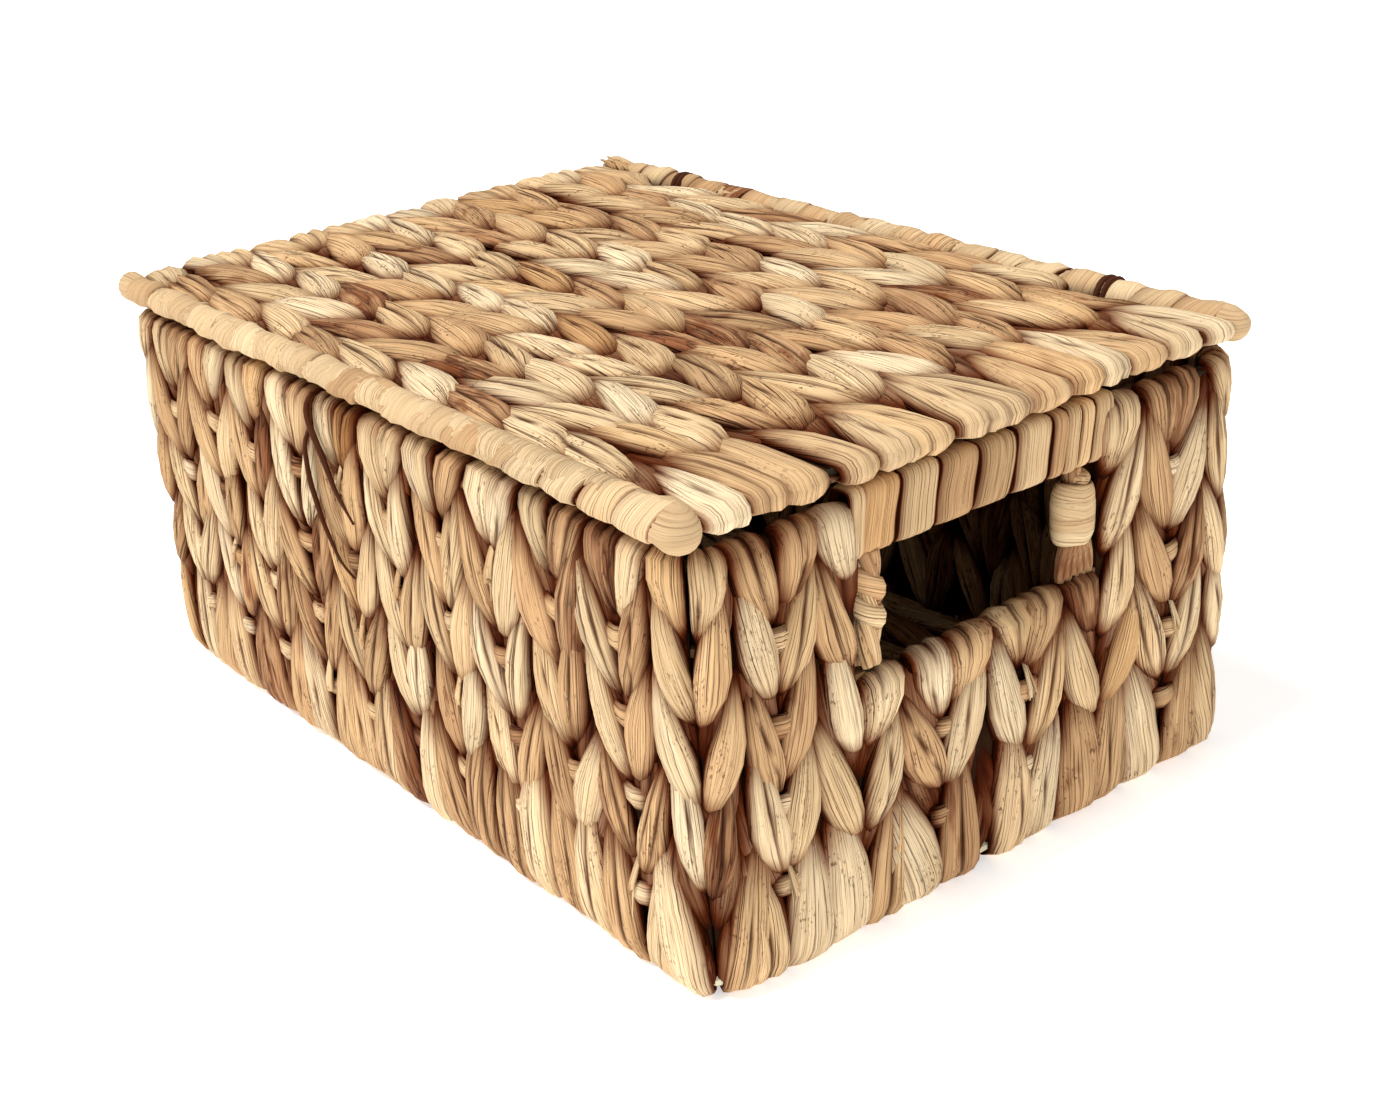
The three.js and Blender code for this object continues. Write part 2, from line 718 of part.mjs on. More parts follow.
addPiece(lid, 'lid_rim_front', toGeometry(lidRim(-1, [])), 'paleLeaf');
addPiece(lid, 'lid_rim_back', toGeometry(lidRim(1, [-tie_offset, tie_offset])), 'paleLeaf');

export default box;
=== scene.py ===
"""Woven lidded storage box: leaf bundles twined over a wire frame, dressed for a studio view."""

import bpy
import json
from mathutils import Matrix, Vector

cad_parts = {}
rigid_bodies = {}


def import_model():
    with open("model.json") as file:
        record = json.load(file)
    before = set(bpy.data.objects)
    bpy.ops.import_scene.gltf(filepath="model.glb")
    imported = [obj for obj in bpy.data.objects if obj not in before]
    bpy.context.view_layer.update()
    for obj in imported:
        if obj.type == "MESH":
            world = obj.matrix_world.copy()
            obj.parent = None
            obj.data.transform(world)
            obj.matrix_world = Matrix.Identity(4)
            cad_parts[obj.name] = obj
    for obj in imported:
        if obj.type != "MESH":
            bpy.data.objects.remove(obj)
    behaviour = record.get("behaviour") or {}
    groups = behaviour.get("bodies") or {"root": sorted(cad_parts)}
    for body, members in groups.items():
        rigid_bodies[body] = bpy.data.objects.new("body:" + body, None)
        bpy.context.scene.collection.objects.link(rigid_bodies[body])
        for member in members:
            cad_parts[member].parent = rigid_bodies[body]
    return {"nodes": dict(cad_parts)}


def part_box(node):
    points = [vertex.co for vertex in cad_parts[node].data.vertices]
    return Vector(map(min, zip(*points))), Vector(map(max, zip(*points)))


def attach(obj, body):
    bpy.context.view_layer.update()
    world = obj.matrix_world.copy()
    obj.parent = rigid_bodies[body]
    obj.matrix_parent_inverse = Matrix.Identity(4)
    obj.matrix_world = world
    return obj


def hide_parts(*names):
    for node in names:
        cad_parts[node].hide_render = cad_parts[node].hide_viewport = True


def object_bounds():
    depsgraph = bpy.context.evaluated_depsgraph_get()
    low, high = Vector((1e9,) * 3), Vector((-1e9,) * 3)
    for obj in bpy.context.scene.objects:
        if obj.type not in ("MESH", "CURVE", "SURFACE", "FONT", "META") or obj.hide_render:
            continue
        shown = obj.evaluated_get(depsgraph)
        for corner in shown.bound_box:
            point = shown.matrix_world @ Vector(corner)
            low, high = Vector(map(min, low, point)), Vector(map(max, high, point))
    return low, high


bl_info = {
    "name": "Woven lidded box",
    "version": (1, 0, 0),
    "blender": (4, 5, 0),
    "location": "3D View > Sidebar > Woven box",
    "description": "Twines the walls and lid of a leaf storage box, winds its rims and grips, and sets its studio",
    "category": "Object",
}

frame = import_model()

import json
import math
from functools import partial

import bpy
import numpy as np
from mathutils import Matrix, Vector, noise

CAD_BOX = [list(corner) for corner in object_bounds()]
MM = 0.001

# Places that follow the frame, in metres
HALF_LENGTH, HALF_WIDTH = CAD_BOX[1][:2]
WALL_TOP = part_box("front_weave")[1].z
RAIL_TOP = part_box("right_end_weave_under_grip")[1].z
LID_LOW, LID_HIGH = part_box("lid_weave")
BASE_LOW, BASE_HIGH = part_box("base_weave")

# How the weave sits on the walls
WALL_HALF = 8.5 * MM
CORNER_RADIUS = 21 * MM
CORNER_SLIT = 1.5 * MM
PRESSED = 2.8 * MM
SHOULDER_DROP = 2 * MM
FOOT_HEIGHT, FOOT_INSET = 17 * MM, 3.5 * MM
FOLD_RADIUS = 5.5 * MM
PANEL_FOLD_RADIUS = 3 * MM
BEHIND_DEPTH = 2.6 * MM
UNDER_REACH = 28 * MM
DRIFT_LENGTH = 60 * MM
NOISE_SEED = 11

# Room for the tie loops, which slip round in the lid's edge as it swings
TIE_ROOM = {"depth": 11 * MM, "reach": 24 * MM, "shoulder": 13 * MM, "length": 30 * MM}

# The studio, in metres and degrees
CAMERA_PLACE, CAMERA_LOOK = (0.7158, -0.5175, 0.4642), (-0.7267, 0.5506, -0.4109)
CAMERA_LENS, CAMERA_ROLL = 53.06, -3.845
LIGHTS = (("key", "SUN", (-0.4, -1.0, 2.15), 2.8), ("fill", "AREA", (1.9, -0.4, 0.9), 6.0))
KEY_SPREAD, FILL_SIZE = 22, 1.2
FLOOR_HALF, FLOOR_GLOW, SKY = 6.0, 0.5, 0.5


# Sizes and colours that a user would change


def length_setting(name, description, size):
    """A setting for a length, from millimetres."""
    return bpy.props.FloatProperty(name=name, description=description, default=size * MM, unit="LENGTH")


def colour_setting(name, description, text):
    return bpy.props.StringProperty(name=name, description=f"{description}, in hex", default=text)


class WovenBoxSettings(bpy.types.PropertyGroup):
    """Gauge, irregularity and colours of the leaf"""

    column_width: length_setting("Column width", "Width of one column of stitches", 19.5)
    stitch_pitch: length_setting("Stitch pitch", "Height from one row of the walls to the next", 34.56)
    stitch_length: length_setting("Stitch length", "Length of one leaf bundle, its tucked ends included", 63)
    fold_length: length_setting("Fold length", "Length of a bundle that goes over an edge", 82)
    edge_length: length_setting("Edge length", "Length of a bundle that goes round under the bottom", 94)
    lid_stitch_length: length_setting("Lid stitch length", "Length of one bundle of the lid and the base", 78)
    seed: bpy.props.IntProperty(name="Seed", description="Start of every random draw", default=11)
    straw: colour_setting("Straw", "Lightest leaf", "ebd4ae")
    tan: colour_setting("Tan", "Commonest leaf", "d3ac7e")
    umber: colour_setting("Umber", "Brown leaf", "8c5a3c")
    bark: colour_setting("Bark", "Darkest leaf", "4a2415")
    # The colour of the painted shade in the gaps between bundles
    seam: colour_setting("Seam", "Shade in the seams", "341204")


def settings():
    return bpy.context.scene.woven_box


# Small helpers


def colour(text):
    """An sRGB hex colour as linear red, green, blue and one."""
    shares = [int(text[place:place + 2], 16) / 255 for place in (0, 2, 4)]
    linear = [s / 12.92 if s <= 0.04045 else ((s + 0.055) / 1.055) ** 2.4 for s in shares]
    return (*linear, 1.0)


def add(tree, kind, inputs=None, **choices):
    """Adds a node with its settings, and links or fills its inputs."""
    node = tree.nodes.new(kind)
    for name, value in choices.items():
        setattr(node, name, value)
    for name, value in (inputs or {}).items():
        if isinstance(value, bpy.types.NodeSocket):
            tree.links.new(value, node.inputs[name])
        else:
            node.inputs[name].default_value = value
    return node


def maths(tree):
    """Short names for a tree's sums: any operation, product, product plus a third, sum and difference."""

    def calc(operation, first, second=0.0, third=0.0):
        return add(tree, "ShaderNodeMath", {0: first, 1: second, 2: third}, operation=operation).outputs[0]

    return calc, *(partial(calc, name) for name in ("MULTIPLY", "MULTIPLY_ADD", "ADD", "SUBTRACT"))


def show(mesh, name, body, *nodes, slot="leaf"):
    """Makes the piece's object on its body, in place of its CAD nodes."""
    piece = bpy.data.objects.new(name, mesh)
    bpy.context.scene.collection.objects.link(piece)
    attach(piece, body)
    if nodes:
        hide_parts(*nodes)


def centred(node):
    """The middle of a node's box, and half its size."""
    low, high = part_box(node)
    return (low + high) / 2, (high - low) / 2


def blank_mesh(name, points, faces, uv=None, floats=None, tint=None, smooth=True):
    """A mesh from points and faces, with a UV map and attributes, given for each point or for all of them."""
    mesh = bpy.data.meshes.new(name)
    mesh.from_pydata([tuple(p) for p in points], [], [tuple(f) for f in faces])
    corner_points = np.zeros(len(mesh.loops), int)
    mesh.loops.foreach_get("vertex_index", corner_points)
    if uv is not None:
        layer = mesh.uv_layers.new(name="UVMap")
        layer.data.foreach_set("uv", np.asarray(uv, np.float32)[corner_points].ravel())
    for key, values in (floats or {}).items():
        each = np.zeros(len(points), np.float32) + np.asarray(values, np.float32)
        mesh.attributes.new(key, "FLOAT", "POINT").data.foreach_set("value", each)
    if tint:
        each = np.tile(np.array(tint, np.float32), len(points))
        mesh.attributes.new("tint", "FLOAT_VECTOR", "POINT").data.foreach_set("vector", each)
    if smooth:
        mesh.shade_smooth()
    mesh.update()
    return mesh


def points_of(mesh):
    points = np.zeros(len(mesh.vertices) * 3)
    mesh.vertices.foreach_get("co", points)
    return points.reshape(-1, 3)


def moved(mesh, points):
    """Gives a mesh's points their new places."""
    mesh.vertices.foreach_set("co", points.ravel())
    mesh.update()
    return mesh


def joined_mesh(name, meshes):
    """One mesh of several, with their maps and attributes."""
    parts = []
    for mesh in meshes:
        part = bpy.data.objects.new(mesh.name, mesh)
        bpy.context.scene.collection.objects.link(part)
        parts.append(part)
    with bpy.context.temp_override(active_object=parts[0], selected_editable_objects=parts,
                                   selected_objects=parts):
        bpy.ops.object.join()
    mesh = parts[0].data
    bpy.data.objects.remove(parts[0])
    mesh.name = name
    return mesh


def tube_faces(rings, count, flip=False, closed=False):
    """Quads between neighbouring rings of count points."""
    faces = []
    for ring in range(rings if closed else rings - 1):
        here, there = ring * count, (ring + 1) % rings * count
        for place in range(count):
            after = (place + 1) % count
            quad = (here + place, there + place, there + after, here + after)
            faces.append((quad[0], *quad[:0:-1]) if flip else quad)
    return faces


def end_faces(tip, start, count, flip):
    """Triangles between a tip and the ring of points that begins at start."""
    pairs = [(start + place, start + (place + 1) % count) for place in range(count)]
    return [(tip, *(pair[::-1] if flip else pair)) for pair in pairs]


def stock(name, make, count):
    """A collection of shapes for the weave to repeat, made once and taken away at the end."""
    shapes = bpy.data.collections.get(name)
    if shapes is None:
        shapes = bpy.data.collections.new(name)
        shapes["stock"] = True
        for number in range(count):
            mesh = make(f"{name}_{number:02d}", number)
            shapes.objects.link(bpy.data.objects.new(mesh.name, mesh))
    return shapes


# Leaf bundles: low shapes that the weave repeats. A shape lies with its tucked tip at the origin, and
# runs up its second axis towards the side of its column where it starts.

# For each kind: places across, heights there, how far its strands differ, and how far they roll over
STRANDS = {
    "single": ([-1, -0.82, -0.45, 0.0, 0.45, 0.82, 1], [0, 0.66, 0.94, 1.0, 0.92, 0.62, 0], 0.3, 0.0),
    "double": ([-1, -0.8, -0.4, -0.02, 0.36, 0.76, 1], [0, 0.74, 0.96, 0.3, 1.0, 0.74, 0], 1.0, 0.3),
    "triple": ([-1, -0.7, -0.38, -0.02, 0.34, 0.7, 1], [0, 0.86, 0.42, 1.0, 0.44, 0.86, 0], 1.0, 0.3),
    "creased": ([-1, -0.84, -0.5, -0.2, 0.1, 0.7, 1], [0, 0.6, 0.9, 0.56, 1.0, 0.8, 0], 0.6, 0.5),
    "rolled": ([-1, -0.7, -0.36, 0.0, 0.36, 0.7, 1], [0, 0.8, 1.0, 0.4, 1.0, 0.8, 0], 0.8, 1.1),
}
KINDS = ("single", "double", "triple", "creased", "single", "rolled", "double", "single", "creased", "rolled")
UNDERSIDE = (0.55, -0.55)

# Profiles: the rings' places along the bundle, then at each of SHARES the width as a share of the
# column's, the lift and the dome in millimetres, and the middle line's place in the column
SHARES = [0, 0.15, 0.35, 0.55, 0.7, 0.85, 0.95, 1]
PLAIN = {
    "rings": [0.05, 0.18, 0.34, 0.5, 0.64, 0.78, 0.9],
    "width": [0.3, 0.52, 0.8, 0.98, 1.0, 0.74, 0.4, 0.12],
    "lift": [-2.6, -1.2, 0.2, 0.9, 1.0, 0.1, -1.2, -2.6],
    "dome": [0.8, 1.7, 2.4, 2.8, 2.8, 2.3, 1.4, 0.4],
    "middle": [0.88, 0.8, 0.67, 0.54, 0.43, 0.29, 0.16, 0.08],
}
LONG = {
    "rings": [0.05, 0.18, 0.34, 0.5, 0.64, 0.77, 0.88, 0.95],
    "width": [0.3, 0.56, 0.86, 1.02, 1.1, 0.98, 0.62, 0.2],
    "lift": [-2.6, -1.4, 0.0, 0.9, 1.2, 0.6, -0.8, -2.4],
    "dome": [0.8, 1.7, 2.4, 2.8, 3.0, 2.6, 1.7, 0.5],
    "middle": [0.9, 0.84, 0.72, 0.57, 0.46, 0.33, 0.21, 0.12],
}
OVER_TOP = {
    "rings": [0.04, 0.14, 0.24, 0.34, 0.39, 0.43, 0.47, 0.51, 0.55, 0.59, 0.64, 0.72, 0.8, 0.89],
    "width": [0.9, 1.12, 1.18, 1.16, 1.06, 0.78, 0.44, 0.14],
    "lift": [-1.6, -0.6, -1.0, -0.9, 0.6, 0.2, -1.0, -2.4],
    "dome": [0.8, 1.6, 1.9, 2.2, 2.7, 2.4, 1.5, 0.4],
    "middle": [0.5, 0.5, 0.5, 0.5, 0.45, 0.3, 0.17, 0.09],
}
UNDER_EDGE = {
    "rings": [0.05, 0.15, 0.26, 0.37, 0.48, 0.57, 0.64, 0.7, 0.76, 0.82, 0.9],
    "width": [0.34, 0.75, 1.08, 1.18, 1.16, 1.08, 0.85, 0.5],
    "lift": [-2.6, -0.9, 0.5, 0.8, 0.7, 0.2, -0.6, -1.6],
    "dome": [0.8, 1.8, 2.6, 2.6, 2.3, 2.0, 1.4, 0.6],
    "middle": [0.86, 0.75, 0.62, 0.54, 0.51, 0.48, 0.46, 0.46],
}
LID_START = {
    "rings": [0.06, 0.18, 0.3, 0.4, 0.45, 0.49, 0.52, 0.55, 0.58, 0.62, 0.7, 0.8, 0.88, 0.94],
    "width": [0.9, 1.1, 1.12, 1.1, 1.12, 0.96, 0.56, 0.18],
    "lift": [-1.6, -0.6, -0.3, 0.2, 0.9, 0.5, -0.8, -2.4],
    "dome": [0.8, 1.6, 1.9, 2.2, 2.7, 2.5, 1.6, 0.5],
    "middle": [0.6, 0.56, 0.53, 0.5, 0.46, 0.35, 0.22, 0.12],
}
LID_END = {
    "rings": [0.05, 0.15, 0.26, 0.38, 0.5, 0.6, 0.65, 0.68, 0.7, 0.72, 0.74, 0.76, 0.79, 0.85, 0.92],
    "width": [0.34, 0.66, 0.98, 1.1, 1.12, 1.08, 0.9, 0.6],
    "lift": [-2.6, -1.2, 0.4, 0.9, 0.8, 0.2, -0.6, -1.6],
    "dome": [0.8, 1.8, 2.6, 2.8, 2.6, 2.0, 1.4, 0.6],
    "middle": [0.88, 0.76, 0.6, 0.5, 0.47, 0.45, 0.44, 0.44],
}


def soft_change(draw, amount, rings):
    """Random changes of up to this share that go smoothly along a bundle."""
    return 1 + np.interp(rings, np.linspace(0, 1, 5), draw.uniform(-amount, amount, 5))


def leaf_shape(name, profile, strands, side, length, column, seed):
    """A closed bundle of seven points across its top and two under it, tapered to both ends."""
    draw = np.random.default_rng(seed)
    across, humps, parting, rolling = STRANDS[strands]
    across, humps = np.array(across), np.array(humps)
    dips = [0, *(humps[i] < min(humps[i - 1], humps[i + 1]) for i in range(1, 6)), 0]
    rolling *= draw.choice((-1, 1))
    rings = np.array(profile["rings"])[:, None]

    def along(key, shares=rings):
        return np.interp(shares, SHARES, profile[key])

    width = 1.02 * column * draw.uniform(0.9, 1.08)
    half = along("width") * width / 2 * soft_change(draw, 0.11, rings)
    changes = np.hstack([soft_change(draw, 0.16, rings) for _ in across])
    lift, dome = along("lift") * MM, along("dome") * MM
    bow = draw.uniform(-0.07, 0.07) * np.sin(np.pi * rings)
    middle = (along("middle") + bow) * column
    lean = draw.uniform(-0.7, 0.7) * MM * np.cos(np.pi * rings * draw.uniform(0.5, 1.6))
    slid = np.clip(across - rolling * (rings - 0.5), -0.8, 0.8)
    heights = np.interp(slid, across, humps) * (np.abs(across) < 1) * changes
    top = lift - 2.3 * MM * np.abs(across) ** 3 + heights * dome + lean * across
    under = np.repeat(lift - 2.2 * MM, 2, 1)
    none = np.zeros_like(under)
    wide = np.append(across, UNDERSIDE)
    flat = np.zeros((len(rings), len(wide)))
    # rise: each point's height, from which the leaf material paints shade on low parts and tips and a highlight on
    # crowns
    body = {
        "x": side * (middle + wide * half), "y": flat + (1 - rings) * length, "z": np.hstack([top, under]),
        "u": flat + wide * width / 2, "rise": np.hstack([(top / MM + 3) / 6.5, none]), "tuck": flat + rings,
        "strand": flat + np.append(parting * across, (0, 0)),
        "groove": np.hstack([np.interp(slid, across, dips), none]),
    }
    ends = np.array([0.0, 1.0])
    tips = {"x": side * along("middle", ends) * column, "y": (1 - ends) * length, "z": along("lift", ends) * MM,
            "rise": (0.05, 0.05), "tuck": ends}
    values = {key: np.append(part, tips.get(key, (0, 0))) for key, part in body.items()}
    count, tip = len(wide), flat.size
    faces = tube_faces(len(rings), count)
    faces += end_faces(tip, 0, count, False) + end_faces(tip + 1, tip - count, count, True)
    if side < 0:
        faces = [face[::-1] for face in faces]
    points = np.stack([values[key] for key in "xyz"], 1)
    uv = np.stack([values[key] for key in "uy"], 1)
    return blank_mesh(name, points, faces, uv, {key: values[key] for key in ("rise", "tuck", "strand", "groove")})


def bundles(key, profile, length, seed):
    """A set of bundles: each kind of strand for one side of its column, and then for the other."""
    s = settings()

    def make(name, number):
        side = 1 if number < len(KINDS) else -1
        kind = KINDS[number % len(KINDS)]
        return leaf_shape(name, profile, kind, side, length, s.column_width, s.seed + seed + number)

    return stock(f"bundles_{key}", make, 2 * len(KINDS))


def band_shape(name, seed):
    """The short wrap of a warp that shows between two tips: a domed patch, closed underneath."""
    draw = np.random.default_rng(seed)
    half_x, half_y = 9 * MM, 4.9 * MM
    points, uv, rise = [], [], []
    for x in np.linspace(-1, 1, 5):
        for y in np.linspace(-1, 1, 5):
            height = 0.2 + 1.5 * math.sqrt(max(0.0, 1 - y * y)) - 2.2 * x * x + draw.uniform(-0.12, 0.12)
            points.append((x * half_x, y * half_y + 0.9 * MM * x * x, height * MM))
            uv.append((y * half_y, x * half_x))
            rise.append((height + 2.4) / 5)
    faces = [(5 * x + y, 5 * x + 5 + y, 5 * x + 6 + y, 5 * x + 1 + y) for x in range(4) for y in range(4)]
    rim = [0, 5, 10, 15, 20, 21, 22, 23, 24, 19, 14, 9, 4, 3, 2, 1]
    points.append((0, 0, -3.4 * MM))
    uv.append((0, 0))
    rise.append(0)
    faces += [(25, after, here) for here, after in zip(rim, rim[1:] + rim[:1])]
    return blank_mesh(name, points, faces, uv, {"rise": rise, "tuck": 0.5, "strand": 0.0})


# The weave: rows of bundles on a flat panel, before it is folded over its edges


def stitch_tree():
    """Rows and columns of bundles. Neighbouring columns lean to each other, and meet in V's."""
    name = "Twined rows"
    if name in bpy.data.node_groups:
        return bpy.data.node_groups[name]
    tree = bpy.data.node_groups.new(name, "GeometryNodeTree")
    sockets = (("Columns", "Int", 4), ("Rows", "Int", 4), ("Column Width", "Float", 0.02),
               ("Pitch", "Float", 0.035), ("First Tip", "Float", 0.0), ("Kinds", "Int", len(KINDS)),
               ("Leaves", "Collection", None), ("Turn", "Float", 0.08), ("Shift", "Float", 0.0015),
               ("Spread", "Float", 0.1), ("Height", "Float", 1.0), ("Seed", "Int", 1),
               ("Stretch", "Float", 1.0), ("Paired", "Float", 1.0), ("Leaf", "Material", None))
    for label, kind, start in sockets:
        socket = tree.interface.new_socket(name=label, in_out="INPUT", socket_type=f"NodeSocket{kind}")
        if start is not None:
            socket.default_value = start
    tree.interface.new_socket(name="Geometry", in_out="OUTPUT", socket_type="NodeSocketGeometry")
    given = add(tree, "NodeGroupInput").outputs
    index = add(tree, "GeometryNodeInputIndex").outputs[0]
    calc, times, times_plus, plus, minus = maths(tree)

    def draw(kind, low, high, offset):
        first, out = {"FLOAT_VECTOR": (0, 0), "FLOAT": (2, 1), "INT": (4, 2)}[kind]
        inputs = {first: low, first + 1: high, "Seed": plus(given["Seed"], float(offset))}
        return add(tree, "FunctionNodeRandomValue", inputs, data_type=kind).outputs[out]

    def vectors(operation, first, second, socket=1):
        inputs = {0: first, socket: second}
        return add(tree, "ShaderNodeVectorMath", inputs, operation=operation).outputs[0]

    def joined(x, y, z=0.0):
        return add(tree, "ShaderNodeCombineXYZ", {0: x, 1: y, 2: z}).outputs[0]

    column = calc("FLOOR", calc("DIVIDE", index, given["Rows"]))
    row = calc("MODULO", index, given["Rows"])
    parity = times(calc("MODULO", column, 2.0), given["Paired"])
    middle = times(minus(given["Columns"], minus(1.0, given["Paired"])), 0.5)
    across = times(minus(plus(column, parity), middle), given["Column Width"])
    along = times_plus(row, given["Pitch"], given["First Tip"])
    shift = draw("FLOAT_VECTOR", (-0.6, -1.6, -0.3), (0.6, 1.6, 0.3), 1)
    spot = vectors("ADD", joined(across, along), vectors("SCALE", shift, given["Shift"], "Scale"))
    count = times(given["Columns"], given["Rows"])
    points = add(tree, "GeometryNodePoints", {"Count": count, "Position": spot})
    shapes = add(tree, "GeometryNodeCollectionInfo", {
        "Collection": given["Leaves"], "Separate Children": True, "Reset Children": True})
    kind = times_plus(parity, given["Kinds"], draw("INT", 0, minus(given["Kinds"], 1.0), 2))
    turn = times(draw("FLOAT", -1.0, 1.0, 3), given["Turn"])
    spread = vectors("SCALE", draw("FLOAT_VECTOR", (-1, -0.8, -1), (1, 0.8, 1), 4), given["Spread"], "Scale")
    flat = joined(given["Stretch"], 1.0, given["Height"])
    size = vectors("MULTIPLY", vectors("ADD", spread, (1, 1, 1)), flat)
    instances = add(tree, "GeometryNodeInstanceOnPoints", {
        "Points": points.outputs[0], "Instance": shapes.outputs[0], "Pick Instance": True,
        "Instance Index": kind, "Rotation": joined(0.0, 0.0, turn), "Scale": size})
    marked = add(tree, "GeometryNodeStoreNamedAttribute", {
        "Geometry": instances.outputs[0], "Name": "tint", "Value": draw("FLOAT_VECTOR", (0, 0, 0), (1, 1, 1), 5)},
        data_type="FLOAT_VECTOR", domain="INSTANCE")
    real = add(tree, "GeometryNodeRealizeInstances", {0: marked.outputs[0]})
    smooth = add(tree, "GeometryNodeSetShadeSmooth", {0: real.outputs[0]})
    finished = add(tree, "GeometryNodeSetMaterial", {"Geometry": smooth.outputs[0], "Material": given["Leaf"]})
    add(tree, "NodeGroupOutput", {0: finished.outputs[0]})
    return tree


def stitched(name, **values):
    """Runs the stitch tree and gives its plain mesh. A value's name has a line where its socket's has a space."""
    tree = stitch_tree()
    holder = bpy.data.objects.new(name, bpy.data.meshes.new(name))
    bpy.context.scene.collection.objects.link(holder)
    modifier = holder.modifiers.new("Rows", "NODES")
    modifier.node_group = tree
    for item in tree.interface.items_tree:
        key = item.name.replace(" ", "_")
        if item.in_out == "INPUT" and key in values:
            modifier[item.identifier] = values[key]
    graph = bpy.context.evaluated_depsgraph_get()
    mesh = bpy.data.meshes.new_from_object(holder.evaluated_get(graph), preserve_all_data_layers=True,
                                           depsgraph=graph)
    holder.modifiers.remove(modifier)
    bpy.data.objects.remove(holder)
    if not mesh.vertices:
        raise RuntimeError(f"{name} came out empty")
    mesh.name = name
    return mesh


# Folding: a flat panel's place becomes a place on the wall, the lid or the base


def folded(along, rise, straight, radius=FOLD_RADIUS):
    """Goes up a panel's outer side, over its top, down its inner side and under its bottom. Gives the distance
    out from its middle plane and the height over the bottom fold's middle."""
    turn = math.pi * radius
    place = np.mod(along, 2 * (straight + turn))
    reach = radius + rise
    over, under = (place - straight) / radius, (place - 2 * straight - turn) / radius
    spans = [place < straight, place < straight + turn, place < 2 * straight + turn]
    out = np.select(spans, [reach, reach * np.cos(over), -reach], -reach * np.cos(under))
    heights = [place, straight + reach * np.sin(over), 2 * straight + turn - place]
    return out, np.select(spans, heights, -reach * np.sin(under))


def straight_of(quarter):
    """Half the straight stretch of a wall: the front, right, back or left one."""
    return (HALF_WIDTH if quarter % 2 else HALF_LENGTH) - CORNER_RADIUS


def wall_end(quarter):
    """How far a wall's weave goes from its middle, half way round the corner."""
    return straight_of(quarter) + CORNER_RADIUS * math.pi / 4 - CORNER_SLIT / 2


def on_wall(quarter, across, out, height):
    """Takes a place on a wall round the box's corners, to the frame."""
    reach = HALF_LENGTH if quarter % 2 else HALF_WIDTH
    straight = straight_of(quarter)
    depth = WALL_HALF - out
    past = np.maximum(0, np.abs(across) - straight)
    bend = past / CORNER_RADIUS
    arm = CORNER_RADIUS - depth
    x = np.where(past > 0, straight + arm * np.sin(bend), np.abs(across)) * np.sign(across)
    y = -np.where(past > 0, reach - CORNER_RADIUS + arm * np.cos(bend), reach - depth)
    cos, sin = math.cos(quarter * math.pi / 2), math.sin(quarter * math.pi / 2)
    return np.stack([x * cos - y * sin, x * sin + y * cos, height], 1)


def uneven(points, amount, scale, seed):
    """Moves points softly, as a handmade thing is never quite straight."""
    # Without a seed, or with 0, this noise starts from the clock and differs each time
    noise.seed_set(NOISE_SEED)
    offset = Vector((seed * 3.7, seed * 1.3, seed * 2.1))
    drift = np.array([list(noise.noise_vector(Vector(p) / scale + offset)) for p in points])
    return points + drift * (amount, amount, amount / 2)


def core_mesh(name, half, straight, radius, pieces=24):
    """A dark sheet of painted shade behind a panel's bundles, which shows in the gaps between them: a thin closed
    loop with flat ends.
    """
    turn = math.pi * FOLD_RADIUS
    starts = (0, straight, straight + turn, 2 * straight + turn)
    marks = [start + span * step / 4 for start, span in zip(starts, (straight, turn) * 2) for step in range(4)]
    points = [(u, v, radius - FOLD_RADIUS) for u in np.linspace(-half, half, pieces) for v in marks]
    count = len(marks)
    faces = tube_faces(pieces, count)
    faces += [range(count), range(pieces * count - 1, (pieces - 1) * count - 1, -1)]
    mesh = blank_mesh(name, points, faces, [point[:2] for point in points],
                      {"rise": 0.0, "tuck": 0.5, "strand": 0.0}, (0.9, 0.5, 0.5), smooth=False)
    mesh.materials.append(shaded_leaf())
    return mesh


def sunk(mesh):
    """Lowers a layer of bundles behind the first, flattens it and puts it in shade: halving its rise gives it
    painted shade.
    """
    mesh.transform(Matrix.Translation((0, 0, -BEHIND_DEPTH)) @ Matrix.Diagonal((1, 1, 0.7, 1)))
    rise = np.zeros(len(mesh.vertices), np.float32)
    mesh.attributes["rise"].data.foreach_get("value", rise)
    mesh.attributes["rise"].data.foreach_set("value", rise * 0.5)
    return mesh


def layered(name, common, seed, layers):
    """Runs the stitch tree for each layer: its name, rows, bundles, first tip, seed and leaf."""
    meshes = []
    for label, rows, leaves, first, offset, leaf in layers:
        if rows > 0:
            mesh = stitched(f"{name}_{label}", **common, Rows=rows, Leaves=leaves, First_Tip=first,
                            Seed=seed + offset, Leaf=leaf)
            meshes.append(sunk(mesh) if label == "behind" else mesh)
    return meshes


